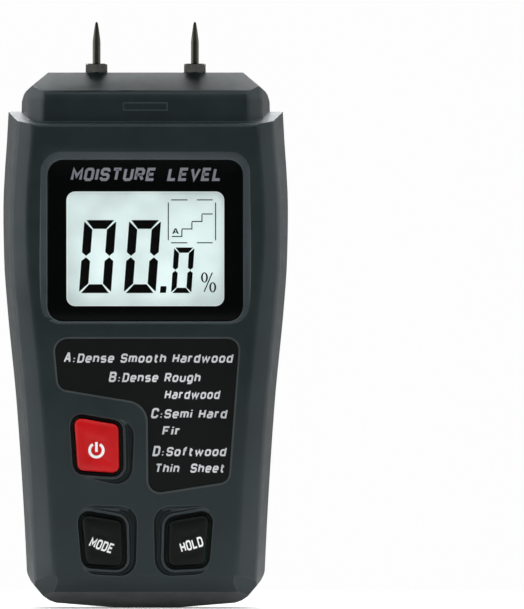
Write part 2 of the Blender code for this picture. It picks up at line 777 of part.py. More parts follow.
def switch(prefix, corners, looks):
    cx, cz = key_centre(corners)
    tall = cz > 30
    top = -8.6 if tall else -7.4
    half = 2.25
    case = node(prefix + "_switch", box(cx - half, cx + half, top, BOARD_FRONT_Y - GAP, cz - half, cz + half),
                looks["black"])
    cut(case, turned([(1.45, -12), (1.45, 0)], (cx, cz), "Y", 16))
    head = -9.3 if tall else -8.4
    pivot = (cx, head, cz)
    rings = [(1.1, -6.9), (1.1, head)]
    shade(node(prefix + "_plunger", turned(rings, (cx, cz), "Y", 16), looks["red_plastic"], pivot))


# ---------------------------------------------------------------- board

def main_board(look):
    upper = [(-22.5, 9.0), (22.5, 9.0), (22.5, 68.0), (29.3, 72.0), (29.3, 119.9), (-29.3, 119.9), (-29.3, 72.0),
             (-22.5, 68.0)]
    narrow = [(x * (26.0 / 22.5) if abs(x) < 23 and z > 60 else x, z) for x, z in upper]
    board = node("main_board", prism(narrow, BOARD_FRONT_Y, BOARD_BACK_Y), look)
    for x, z in SCREWS:
        cut(board, turned([(POST_RADIUS + 0.5, -9), (POST_RADIUS + 0.5, 0)], (x, z), "Y", 20))
    for x in (-BOARD_SCREW[0], BOARD_SCREW[0]):
        cut(board, turned([(1.3, -9), (1.3, 0)], (x, BOARD_SCREW[1]), "Y", 16))
    return board


def board_parts(looks):
    node("mcu_chip", box(-5.0, 5.0, BOARD_BACK_Y + GAP, BOARD_BACK_Y + GAP + 1.4, 55.0, 65.0), looks["black"])
    base = BOARD_BACK_Y + GAP
    body = turned([(2.3, base), (2.5, base + 0.6), (2.5, base + 5.0), (2.2, base + 5.4)], (13.0, 60.0), "Y", 20)
    shade(node("board_capacitor", body, looks["aluminium"]))


# ---------------------------------------------------------------- battery

def battery(looks):
    x0, x1, y0, y1, z0, z1 = BATTERY
    ring = rounded([(y0, z0), (y1, z0), (y1, z1), (y0, z1)], 2.0, 4)
    case = loft([[(x0, y, z) for y, z in ring], [(x1, y, z) for y, z in ring]])
    shade(node("battery_case", case, looks["battery"]))
    mid_y, mid_z = (y0 + y1) / 2, (z0 + z1) / 2
    low = x1 + GAP
    stud = [(2.9, low), (2.9, low + 1.4), (2.4, low + 1.75)]
    socket = [(3.6, low), (3.6, low + 1.0), (3.1, low + 1.75)]
    shade(node("battery_stud", turned(stud, (mid_y, mid_z + 6.35), "X", 20), looks["nickel"]))
    shade(node("battery_socket", turned(socket, (mid_y, mid_z - 6.35), "X", 20), looks["nickel"]))
    snap = rounded([(mid_y - 5.5, mid_z - 12.0), (mid_y + 5.5, mid_z - 12.0), (mid_y + 5.5, mid_z + 12.0),
                    (mid_y - 5.5, mid_z + 12.0)], 3.0, 4)
    plate = loft([[(low + 2.1, y, z) for y, z in snap], [(low + 4.4, y, z) for y, z in snap]])
    shade(node("battery_snap", plate, looks["black"]))
    start_x = low + 4.4 + GAP
    board = BOARD_BACK_Y + GAP + 0.6
    red = arc_path((start_x + 0.7, mid_y - 3.0, mid_z + 8), (start_x + 2.6, -1.0, mid_z + 11), (27.6, board, 115.5))
    black = arc_path((start_x + 0.7, mid_y - 3.0, mid_z - 8), (start_x + 2.6, -1.0, mid_z - 6), (27.6, board, 100.0))
    shade(node("red_lead", tube(red, 0.6), looks["red_plastic"]))
    shade(node("black_lead", tube(black, 0.6), looks["black"]))


# ---------------------------------------------------------------- pins

def pin(side, x, looks):
    tip = [(PIN_RADIUS, 125.2), (PIN_RADIUS, PIN_TAPER_Z), (0.62, 147.0), (0.28, PIN_TIP_Z - 0.25), (0.1, PIN_TIP_Z)]
    shade(node("pin_" + side, turned(tip, (x, RIDGE_Y), "Z", 20), looks["steel"]))
    shade(node("pin_nut_" + side, nut(x), looks["nickel"]))
    socket = node("pin_socket_" + side, turned([(2.5, 124.4), (2.5, 133.6)], (x, RIDGE_Y), "Z", 24), looks["brass"])
    cut(socket, turned([(1.35, 120), (1.35, 140)], (x, RIDGE_Y), "Z", 20))
    shade(socket)
    path = arc_path((x, RIDGE_Y, 123.4), (x * 1.05, -2.4, 120.6), (x * 1.2, BOARD_BACK_Y + GAP + 0.6, 118.9), 6)
    shade(node("pin_wire_" + side, tube(path, 0.45), looks["white"]))


def nut(x):
    """Hexagon nut with one corner facing forward and turned-down top corners."""
    low = HEAD_TOP_Z + GAP
    corner = NUT_ACROSS_FLATS / math.sqrt(3)
    rings = []
    inner = PIN_RADIUS + 0.32
    for radius, z in ((corner, low), (corner, low + NUT_HEIGHT - 0.35), (corner * 0.9, low + NUT_HEIGHT)):
        rings.append([(x + radius * math.sin(a), RIDGE_Y - radius * math.cos(a), z) for a in hexagon()])
    for z in (low + NUT_HEIGHT, low):
        rings.append([(x + inner * math.sin(a), RIDGE_Y - inner * math.cos(a), z) for a in hexagon()])
    return band(rings)


def hexagon():
    return [math.radians(15 * k) for k in range(24)]


def band(rings):
    """A closed ring-shaped body: the last loop joins the first."""
    bm = bmesh.new()
    rows = []
    for index, ring in enumerate(rings):
        points = []
        for k, p in enumerate(ring):
            if index < 3:
                points.append(hex_point(ring, k))
            else:
                points.append(p)
        rows.append([bm.verts.new(p) for p in points])
    for a, b in zip(rows, rows[1:] + rows[:1]):
        for i in range(len(a)):
            j = (i + 1) % len(a)
            bm.faces.new((a[i], a[j], b[j], b[i]))
    bmesh.ops.recalc_face_normals(bm, faces=bm.faces)
    return bm


def hex_point(ring, k):
    """Slide a point of the round loop on to the flat between its two hexagon corners."""
    first = (k // 4) * 4
    a = Vector(ring[first])
    b = Vector(ring[(first + 4) % len(ring)])
    return a.lerp(b, (k % 4) / 4)


# ---------------------------------------------------------------- screws

def shell_screw(name, x, z, look):
    """Pan-head screw driven from the back into the front post."""
    seat = rear_y(z) - 2.4 - GAP + 0.6
    r = SCREW_HEAD_RADIUS
    profile = [(1.25, front_y(z) + WALL + 0.8), (1.25, seat), (r, seat), (r, seat + 0.9), (r * 0.8, seat + 1.45)]
    screw = node(name, turned(profile, (x, z), "Y", 20), look)
    for half_x, half_z in ((1.5, 0.3), (0.3, 1.5)):
        cut(screw, box(x - half_x, x + half_x, seat + 0.7, seat + 3, z - half_z, z + half_z), "recess")
    shade(screw)


def board_screw(name, x, z, look):
    """Short screw that holds the board to the front shell."""
    y = BOARD_BACK_Y + GAP
    profile = [(0.95, BOARD_FRONT_Y - 1.4), (0.95, y), (2.2, y), (2.2, y + 0.8), (1.7, y + 1.3)]
    screw = node(name, turned(profile, (x, z), "Y", 16), look)
    cut(screw, box(x - 1.2, x + 1.2, y + 0.6, y + 3, z - 0.3, z + 0.3), "slot")
    shade(screw)


# ---------------------------------------------------------------- assembly

def make_looks():
    return {
        "slate": material("slate_plastic", (0.030, 0.036, 0.038), 0.5),
        "cap": material("cap_plastic", (0.004, 0.005, 0.005), 0.3),
        "window": material("window_gloss", (0.004, 0.004, 0.005), 0.06),
        "lcd": material("lcd_glass", (0.62, 0.70, 0.71), 0.35),
        "black": material("black_plastic", (0.012, 0.012, 0.013), 0.45),
        "diffuser": material("white_diffuser", (0.8, 0.82, 0.8), 0.6),
        "rubber": material("zebra_rubber", (0.25, 0.2, 0.22), 0.7),
        "red": material("red_key", (0.60, 0.010, 0.014), 0.35),
        "red_plastic": material("red_plastic", (0.5, 0.02, 0.02), 0.45),
        "board": material("green_board", (0.01, 0.10, 0.045), 0.4),
        "aluminium": material("aluminium_can", (0.7, 0.7, 0.7), 0.3, 1.0),
        "battery": material("battery_wrap", (0.05, 0.05, 0.07), 0.35, 0.3),
        "nickel": material("nickel", (0.55, 0.54, 0.52), 0.25, 1.0),
        "steel": material("steel", (0.42, 0.42, 0.41), 0.28, 1.0),
        "brass": material("brass", (0.62, 0.45, 0.18), 0.3, 1.0),
        "white": material("white_wire", (0.75, 0.75, 0.73), 0.5),
        "label": material("silver_label", (0.35, 0.36, 0.37), 0.4),
        "legend": material("legend_black", (0.008, 0.010, 0.010), 0.4),
        "zinc": material("zinc_screw", (0.35, 0.35, 0.36), 0.35, 1.0),
    }


def build():
    for obj in list(bpy.data.objects):
        bpy.data.objects.remove(obj)
    looks = make_looks()
    room = hollow(looks["slate"])
    front_shell(looks["slate"], room)
    rear_shell(looks["slate"], room)
    bpy.data.objects.remove(room)
    pin_cap(looks["cap"])
    battery_door(looks["slate"])
    display_window(looks["window"])
    display_stack(looks)
    legend_inlay(looks["legend"])
    rear_label(looks["label"])
    for prefix, corners, look in (
        ("power", POWER_KEY, "red"),
        ("mode", MODE_KEY, "black"),
        ("hold", HOLD_KEY, "black"),
    ):
        key(prefix + "_key", corners, looks[look])
        switch(prefix, corners, looks)
    main_board(looks["board"])
    board_parts(looks)
    battery(looks)
    for side, x in (("left", -PIN_X), ("right", PIN_X)):
        pin(side, x, looks)
    places = ("lower_left", "lower_right", "upper_left", "upper_right")
    for place, (x, z) in zip(places, SCREWS):
        shell_screw("shell_screw_" + place, x, z, looks["zinc"])
    for side, x in (("left", -BOARD_SCREW[0]), ("right", BOARD_SCREW[0])):
        board_screw("board_screw_" + side, x, BOARD_SCREW[1], looks["zinc"])


build()
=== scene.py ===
"""Looks of the two-pin moisture meter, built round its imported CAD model."""

import math

import bmesh
import bpy
from mathutils import Matrix, Vector
from mathutils.bvhtree import BVHTree


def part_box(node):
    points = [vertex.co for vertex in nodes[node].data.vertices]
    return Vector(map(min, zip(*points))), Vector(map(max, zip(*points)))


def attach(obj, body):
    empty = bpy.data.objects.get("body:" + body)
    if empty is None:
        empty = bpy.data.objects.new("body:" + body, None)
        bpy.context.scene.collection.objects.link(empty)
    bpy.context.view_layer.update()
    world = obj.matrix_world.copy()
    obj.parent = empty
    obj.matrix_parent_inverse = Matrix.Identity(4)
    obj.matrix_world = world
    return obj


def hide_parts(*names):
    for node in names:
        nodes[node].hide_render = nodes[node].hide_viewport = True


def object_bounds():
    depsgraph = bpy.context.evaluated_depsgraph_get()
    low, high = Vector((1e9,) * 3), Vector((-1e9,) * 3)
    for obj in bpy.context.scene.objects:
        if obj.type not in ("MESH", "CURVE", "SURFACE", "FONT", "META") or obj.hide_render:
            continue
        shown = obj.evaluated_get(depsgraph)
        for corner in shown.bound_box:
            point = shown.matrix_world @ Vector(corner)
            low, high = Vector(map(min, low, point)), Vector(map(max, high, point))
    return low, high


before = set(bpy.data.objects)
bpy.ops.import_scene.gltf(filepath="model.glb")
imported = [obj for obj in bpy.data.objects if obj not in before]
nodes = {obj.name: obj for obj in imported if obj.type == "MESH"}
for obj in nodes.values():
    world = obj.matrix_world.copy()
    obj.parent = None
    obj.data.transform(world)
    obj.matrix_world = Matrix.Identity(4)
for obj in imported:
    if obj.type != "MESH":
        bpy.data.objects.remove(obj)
cad_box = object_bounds()

# Lengths below are in millimetres, in the meter's own frame; MM turns them into metres.
MM = 0.001

# Outlines on the front as (x, z); a third value is that corner's own radius.
POWER_KEY = ((-18.1, 48.6), (-6.8, 46.65), (-6.6, 34.4), (-17.2, 35.1))
MODE_KEY = ((-16.2, 24.0), (-6.0, 22.2), (-5.7, 10.8), (-15.1, 11.3))
HOLD_KEY = ((16.2, 24.0), (15.1, 11.3), (5.7, 10.8), (6.0, 22.2))
KEY_CORNER = 1.7
LEGEND = (
    (-23.2, 68.45, 3.2), (-22.0, 55.75, 2.6), (0.6, 52.0, 5.5),
    (0.75, 29.0, 3.0), (21.1, 32.2, 2.6), (23.85, 68.45, 2.8),
)
# The clear field of the display: half width, low z, high z, corner radius.
LCD_VIEW = (20.0, 76.75, 105.8, 2.2)
# The sloping surround of the display window: half width, low z, high z.
BEZEL = (26.9, 71.7, 116.3)
# Depth of the surround's inner edge, where it meets the window.
WINDOW_Y = -16.35
# The sunken steps beside and below the three keys: low x, high x, low z, high z.
RECESSES = ((-19.4, -2.2, 30.2, 46.6), (-18.0, -1.6, 8.2, 25.0), (1.6, 18.0, 8.2, 25.0))

# Knots (z, y) of the joint between the two shells and of the front face.
PARTING = (
    (-3, 5.3), (12, 2.75), (24, 0.8), (51, -2.4), (74, -3.6),
    (84, -3.9), (96, -3.4), (126, -1.0), (160, -1.0),
)
FRONT_FACE = (
    (-3, -9.6), (8, -10.8), (14, -11.6), (30, -13.35), (54, -15.7), (66, -16.3), (90, -17.2), (160, -17.2),
)
# Lowest and highest z of the joint's straight run down each side.
SEAM_LOW, SEAM_HIGH = 4.0, 125.2
# Thickness of the display's marks, and how far a key stands over the front face.
INK = 0.04
KEY_RISE = 1.6


# ---------------------------------------------------------------- materials

def new_material(name):
    mat = bpy.data.materials.new(name)
    mat.use_nodes = True
    return mat, mat.node_tree, mat.node_tree.nodes["Principled BSDF"]


def add(tree, kind, operation=None):
    item = tree.nodes.new(kind)
    if operation:
        item.operation = operation
    return item


def object_place(tree):
    """Position on the meter, in metres, so that the pattern doesn't depend on UVs."""
    return add(tree, "ShaderNodeTexCoord").outputs["Object"]


def plus(tree, a, b):
    """Sum of a socket and a socket or number."""
    item = add(tree, "ShaderNodeMath", "ADD")
    for socket, value in zip(item.inputs, (a, b)):
        if isinstance(value, float):
            socket.default_value = value
        else:
            tree.links.new(value, socket)
    return item.outputs[0]


def noise(tree, scale, detail=3.0, rough=0.6, stretch=(1, 1, 1)):
    place = object_place(tree)
    mapping = add(tree, "ShaderNodeMapping")
    mapping.inputs["Scale"].default_value = stretch
    tex = add(tree, "ShaderNodeTexNoise")
    tex.inputs["Scale"].default_value = scale
    tex.inputs["Detail"].default_value = detail
    tex.inputs["Roughness"].default_value = rough
    tree.links.new(place, mapping.inputs["Vector"])
    tree.links.new(mapping.outputs["Vector"], tex.inputs["Vector"])
    return tex.outputs["Fac"]


def ramp(tree, source, low, high, dark, light):
    """Straight line from dark at low to light at high, level beyond both."""
    item = add(tree, "ShaderNodeMapRange")
    item.inputs["From Min"].default_value = low
    item.inputs["From Max"].default_value = high
    item.inputs["To Min"].default_value = dark
    item.inputs["To Max"].default_value = light
    tree.links.new(source, item.inputs["Value"])
    return item.outputs["Result"]


def mix_colour(tree, factor, a, b):
    """Blend of two colours; either may be a socket. Sockets 6 and 7 are the mixer's colour inputs."""
    item = add(tree, "ShaderNodeMix")
    item.data_type = "RGBA"
    for socket, value in ((6, a), (7, b)):
        if isinstance(value, tuple):
            item.inputs[socket].default_value = (*value, 1.0)
        else:
            tree.links.new(value, item.inputs[socket])
    tree.links.new(factor, item.inputs[0])
    return item.outputs[2]


def edge_mask(tree, radius):
    """1 on rounded-off edges, 0 on open faces."""
    soft = add(tree, "ShaderNodeBevel")
    soft.samples = 4
    soft.inputs["Radius"].default_value = radius
    hard = add(tree, "ShaderNodeNewGeometry")
    dot = add(tree, "ShaderNodeVectorMath", "DOT_PRODUCT")
    tree.links.new(soft.outputs["Normal"], dot.inputs[0])
    tree.links.new(hard.outputs["Normal"], dot.inputs[1])
    return ramp(tree, dot.outputs["Value"], 0.999, 0.93, 0.0, 1.0)


def grain_bump(tree, shader, height, depth, strength):
    bump = add(tree, "ShaderNodeBump")
    bump.inputs["Distance"].default_value = depth
    bump.inputs["Strength"].default_value = strength
    tree.links.new(height, bump.inputs["Height"])
    tree.links.new(bump.outputs["Normal"], shader.inputs["Normal"])


def moulded(name, colour, roughness, grain=2600.0, depth=0.00003, edge_highlight=None,
            coat=0.0, emission=0.0, specular=0.5, tint_gloss=(1.0, 1.0, 1.0)):
    """Moulded plastic: slight colour drift, spark-eroded grain, uneven gloss and edges painted paler as a
    highlight.
    """
    mat, tree, shader = new_material(name)
    drift = noise(tree, 60.0, 2.0)
    dark = tuple(c * 0.86 for c in colour)
    light = tuple(min(1.0, c * 1.14) for c in colour)
    tint = mix_colour(tree, ramp(tree, drift, 0.35, 0.65, 0.0, 1.0), dark, light)
    # The edge colour lightens the rounded edges: a painted highlight.
    if edge_highlight:
        tint = mix_colour(tree, edge_mask(tree, 0.0004), tint, edge_highlight)
    tree.links.new(tint, shader.inputs["Base Color"])
    if emission:
        tree.links.new(tint, shader.inputs["Emission Color"])
        shader.inputs["Emission Strength"].default_value = emission
    fine = noise(tree, grain, 2.0)
    blotch = noise(tree, 240.0, 3.0)
    uneven = ramp(tree, blotch, 0.3, 0.7, roughness - 0.05, roughness + 0.06)
    tree.links.new(uneven, shader.inputs["Roughness"])
    grain_bump(tree, shader, fine, depth, 0.6)
    shader.inputs["Coat Weight"].default_value = coat
    shader.inputs["Coat Roughness"].default_value = 0.12
    shader.inputs["Specular IOR Level"].default_value = specular
    shader.inputs["Specular Tint"].default_value = (*tint_gloss, 1.0)
    return mat


def metal(name, colour, roughness, stretch=(1, 1, 0.03)):
    """Machined metal: fine turning marks and slight tarnish."""
    mat, tree, shader = new_material(name)
    lines = noise(tree, 2400.0, 3.0, 0.6, stretch)
    spots = noise(tree, 500.0, 4.0)
    dark = tuple(c * 0.62 for c in colour)
    tarnish = mix_colour(tree, ramp(tree, spots, 0.42, 0.7, 0.0, 0.7), colour, dark)
    tree.links.new(tarnish, shader.inputs["Base Color"])
    uneven = ramp(tree, lines, 0.3, 0.7, roughness - 0.06, roughness + 0.1)
    tree.links.new(uneven, shader.inputs["Roughness"])
    shader.inputs["Metallic"].default_value = 1.0
    grain_bump(tree, shader, lines, 0.00002, 0.5)
    return mat


def clear_pane(name):
    """Clear acrylic: nearly all light goes through, with a faint uneven reflection."""
    mat, tree, shader = new_material(name)
    out = tree.nodes["Material Output"]
    tree.nodes.remove(shader)
    clear = add(tree, "ShaderNodeBsdfTransparent")
    clear.inputs["Color"].default_value = (0.97, 0.985, 0.98, 1.0)
    shine = add(tree, "ShaderNodeBsdfGlossy")
    mix = add(tree, "ShaderNodeMixShader")
    smear = noise(tree, 90.0, 3.0)
    tree.links.new(ramp(tree, smear, 0.4, 0.7, 0.04, 0.09), shine.inputs["Roughness"])
    mix.inputs[0].default_value = 0.02
    tree.links.new(clear.outputs[0], mix.inputs[1])
    tree.links.new(shine.outputs[0], mix.inputs[2])
    tree.links.new(mix.outputs[0], out.inputs["Surface"])
    return mat


def make_looks():
    """Every look by name: colour and roughness, then for some the grain's fineness and depth in metres."""
    cool = (0.84, 0.93, 1.0)
    # An edge colour given to a look is a painted highlight along its rounded edges.
    return {
        "slate": moulded("slate_plastic_look", (0.0090, 0.0158, 0.0155), 0.40,
                         edge_highlight=(0.068, 0.080, 0.087), tint_gloss=cool),
        # Paler copy of the housing's plastic for the slopes round the display window: painted highlight.
        "bezel": moulded("bezel_highlight_look", (0.032, 0.042, 0.046), 0.38,
                         edge_highlight=(0.12, 0.14, 0.15), tint_gloss=cool),
        # Darker copy of the housing's plastic for the steps beside and below the keys: painted shade.
        "recess": moulded("key_recess_shade_look", (0.0038, 0.0066, 0.0065), 0.45,
                          edge_highlight=(0.030, 0.036, 0.039), specular=0.2, tint_gloss=cool),
        "cap": moulded("cap_plastic_look", (0.0008, 0.0018, 0.0012), 0.25,
                       edge_highlight=(0.070, 0.073, 0.073), specular=0.22),
        "gloss": moulded("window_gloss_look", (0.0018, 0.0021, 0.0021), 0.09, 900.0, 0.000004,
                         specular=0.06),
        "pane": clear_pane("window_pane_look"),
        # The display cell and its rim glow: painted light that brightens them and evens out the shade cast
        # by the window's border.
        "lcd": moulded("lcd_glass_look", (0.53, 0.605, 0.605), 0.35, 5200.0, 0.00001,
                       emission=0.70),
        "lcd_rim": moulded("lcd_rim_look", (0.80, 0.84, 0.84), 0.4, 5200.0, 0.00001,
                           emission=0.45),
        "ink": moulded("lcd_ink_look", (0.0008, 0.0008, 0.0008), 0.5, 4000.0, 0.00001,
                       specular=0.02),
        "print": moulded("light_print_look", (0.62, 0.64, 0.66), 0.5, 4200.0, 0.00001,
                         specular=0.2),
        "heading": moulded("heading_print_look", (0.21, 0.22, 0.25), 0.5, 4200.0, 0.00001,
                           specular=0.2),
        # A faint painted glow brightens the white print on the keys.
        "key_print": moulded("key_print_look", (0.85, 0.86, 0.86), 0.45, 4200.0, 0.00001,
                             emission=0.05),
        # Paler line round the legend panel: painted highlight on its raised edge.
        "line": moulded("legend_edge_highlight_look", (0.040, 0.048, 0.048), 0.5, 3000.0, 0.00001),
        "legend": moulded("legend_film_look", (0.0050, 0.0062, 0.0062), 0.5, 3600.0, 0.00001,
                          specular=0.12),
        "red": moulded("red_key_look", (0.53, 0.0025, 0.0045), 0.36, 2600.0, 0.00001,
                       edge_highlight=(0.60, 0.04, 0.04), specular=0.3),
        "black_key": moulded("black_key_look", (0.0028, 0.0044, 0.0040), 0.40, 2600.0, 0.00001,
                             edge_highlight=(0.020, 0.024, 0.024), specular=0.16),
        "seal": moulded("key_seal_look", (0.0035, 0.004, 0.004), 0.6, 3000.0, 0.00001,
                        specular=0.2),
        "black": moulded("black_plastic_look", (0.010, 0.011, 0.012), 0.45),
        "diffuser": moulded("diffuser_look", (0.80, 0.82, 0.80), 0.5, 1200.0, 0.00001),
        "rubber": moulded("rubber_look", (0.22, 0.19, 0.20), 0.7, 2000.0, 0.00003),
        "red_plastic": moulded("red_plastic_look", (0.5, 0.02, 0.02), 0.4, 2000.0, 0.00001),
        "board": moulded("board_look", (0.012, 0.12, 0.05), 0.3, 700.0, 0.00003, coat=0.4),
        "wrap": moulded("battery_wrap_look", (0.05, 0.05, 0.075), 0.28, 400.0, 0.00001, coat=0.5),
        "white": moulded("wire_sleeve_look", (0.72, 0.72, 0.69), 0.45, 2200.0, 0.00001),
        "label": moulded("label_look", (0.33, 0.34, 0.35), 0.38, 1800.0, 0.00001,
                         edge_highlight=(0.45, 0.46, 0.47)),
        "label_line": moulded("label_line_look", (0.06, 0.065, 0.07), 0.45, 1800.0, 0.00001),
        "aluminium": metal("aluminium_look", (0.80, 0.80, 0.80), 0.28),
        "nickel": metal("nickel_look", (0.16, 0.158, 0.150), 0.20, (1, 1, 1)),
        "steel": metal("pin_steel_look", (0.125, 0.13, 0.108), 0.30),
        "brass": metal("brass_look", (0.70, 0.52, 0.22), 0.28),
        "zinc": metal("zinc_look", (0.48, 0.49, 0.50), 0.30, (1, 0.1, 1)),
    }


# ---------------------------------------------------------------- mesh helpers

def curve(knots, z):
    """Monotone cubic through the knots."""
    if z <= knots[0][0]:
        return knots[0][1]
    if z >= knots[-1][0]:
        return knots[-1][1]
    steps = [(b[1] - a[1]) / (b[0] - a[0]) for a, b in zip(knots, knots[1:])]
    i = max(k for k in range(len(steps)) if knots[k][0] <= z)
    slope = []
    for k in (i, i + 1):
        if k == 0 or k == len(steps):
            slope.append(steps[min(k, len(steps) - 1)])
        elif steps[k - 1] * steps[k] <= 0:
            slope.append(0.0)
        else:
            slope.append(2 * steps[k - 1] * steps[k] / (steps[k - 1] + steps[k]))
    h = knots[i + 1][0] - knots[i][0]
    t = (z - knots[i][0]) / h
    rise = (2 * t**3 - 3 * t**2 + 1) * knots[i][1] + (3 * t**2 - 2 * t**3) * knots[i + 1][1]
    return rise + h * ((t**3 - 2 * t**2 + t) * slope[0] + (t**3 - t**2) * slope[1])


def front_y(z):
    """Depth of the meter's front face at a height."""
    return curve(FRONT_FACE, z)


def anticlockwise(points):
    area = sum(a[0] * b[1] - b[0] * a[1] for a, b in zip(points, points[1:] + points[:1]))
    return list(points) if area > 0 else list(reversed(points))


def rounded(points, radius=0.0, steps=8):
    """Round every corner of a closed outline; a corner's third value is a radius of its own."""
    corners = anticlockwise(list(points))
    result = []
    for i, corner in enumerate(corners):
        p = Vector(corner[:2])
        a = Vector(corners[i - 1][:2]) - p
        b = Vector(corners[(i + 1) % len(corners)][:2]) - p
        own = corner[2] if len(corner) > 2 else radius
        half = a.angle(b) / 2
        reach = min(own / math.tan(half), 0.45 * a.length, 0.45 * b.length)
        centre = p + (a.normalized() + b.normalized()).normalized() * (reach / math.cos(half))
        start = p + a.normalized() * reach - centre
        turn = math.copysign(math.pi - 2 * half, (-a).cross(b))
        for k in range(steps + 1):
            arm = Matrix.Rotation(turn * k / steps, 2) @ start
            result.append((centre.x + arm.x, centre.y + arm.y))
    return result


def rectangle(half_width, z0, z1, radius, steps=8):
    corners = [(-half_width, z0), (half_width, z0), (half_width, z1), (-half_width, z1)]
    return rounded(corners, radius, steps)


def inset_loop(points, amount):
    """Move an anticlockwise outline inwards, or outwards for a negative amount."""
    result = []
    for i, p in enumerate(points):
        a = Vector(p) - Vector(points[i - 1])
        b = Vector(points[(i + 1) % len(points)]) - Vector(p)
        na = Vector((-a.y, a.x)).normalized()
        nb = Vector((-b.y, b.x)).normalized()
        shift = (na + nb) * (amount / (1 + na.dot(nb)))
        result.append((p[0] + shift.x, p[1] + shift.y))
    return result


def piece(name, bm, look, body, smooth=30, stands_for=()):
    """A finished object from a millimetre mesh."""
    bmesh.ops.remove_doubles(bm, verts=bm.verts, dist=0.0005)
    bmesh.ops.recalc_face_normals(bm, faces=bm.faces)
    for v in bm.verts:
        v.co = v.co * MM
    for face in bm.faces:
        face.smooth = True
    for edge in bm.edges:
        edge.smooth = edge.calc_face_angle(0.0) < math.radians(smooth)
    mesh = bpy.data.meshes.new(name)
    bm.to_mesh(mesh)
    bm.free()
    obj = bpy.data.objects.new(name, mesh)
    bpy.context.scene.collection.objects.link(obj)
    mesh.materials.append(look)
    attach(obj, body)
    if stands_for:
        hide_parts(*stands_for)
    return obj


def loft(rings, ends=True):
    """Skin over rings of equal length, closed at both ends unless told otherwise."""
    bm = bmesh.new()
    rows = [[bm.verts.new(p) for p in ring] for ring in rings]
    for low, high in zip(rows, rows[1:]):
        for i in range(len(low)):
            j = (i + 1) % len(low)
            bm.faces.new((low[i], low[j], high[j], high[i]))
    if ends:
        bm.faces.new(list(reversed(rows[0])))
        bm.faces.new(rows[-1])
    return bm


def add_plate(bm, outline, y_front, y_back):
    """Add a flat plate with the given outline in XZ."""
    front = [bm.verts.new((x, y_front, z)) for x, z in outline]
    back = [bm.verts.new((x, y_back, z)) for x, z in outline]
    bm.faces.new(front)
    bm.faces.new(list(reversed(back)))
    for i in range(len(front)):
        j = (i + 1) % len(front)
        bm.faces.new((front[j], front[i], back[i], back[j]))


def add_ring(bm, outer, inner, y_front, y_back):
    """Add a closed frame between two outlines of equal length."""
    loops = [[bm.verts.new((x, y, z)) for x, z in line] for line, y in
             ((outer, y_front), (inner, y_front), (inner, y_back), (outer, y_back))]
    for a, b in zip(loops, loops[1:] + loops[:1]):
        for i in range(len(a)):
            j = (i + 1) % len(a)
            bm.faces.new((a[i], a[j], b[j], b[i]))


def tree_of(node):
    mesh = nodes[node].data
    return BVHTree.FromPolygons([v.co for v in mesh.vertices], [p.vertices for p in mesh.polygons])


def surface_of(node):
    """Finder for the depth of a CAD node's front (side -1) or rear (side 1) surface at x, z."""
    tree = tree_of(node)

    def find(x, z, side=-1):
        start = Vector((x * MM, side * 0.08, z * MM))
        hit = tree.ray_cast(start, Vector((0, -side, 0)))[0]
        return None if hit is None else hit.y / MM

    return find


def soften(node, width, segments=3, angle=24):
    """Round the edges of a CAD node with modifiers."""
    obj = nodes[node]
    weld = obj.modifiers.new("weld", "WELD")
    weld.merge_threshold = 0.000002
    bevel = obj.modifiers.new("rounding", "BEVEL")
    bevel.width = width * MM
    bevel.segments = segments
    bevel.limit_method = "ANGLE"
    bevel.angle_limit = math.radians(angle)
    bevel.harden_normals = False
    bevel.use_clamp_overlap = True
    for p in obj.data.polygons:
        p.use_smooth = True
    level = obj.modifiers.new("even", "WEIGHTED_NORMAL")
    level.keep_sharp = True
    level.weight = 50


def dress(node, look):
    """Give a CAD node its look."""
    mesh = nodes[node].data
    mesh.materials.clear()
    mesh.materials.append(look)


# ---------------------------------------------------------------- lettering

def box_letter(w, h, c=0.85):
    """Eight-cornered loop, the base of the round letters."""
    return [(c, 0), (w - c, 0), (w, c), (w, h - c), (w - c, h), (c, h), (0, h - c), (0, c), (c, 0)]


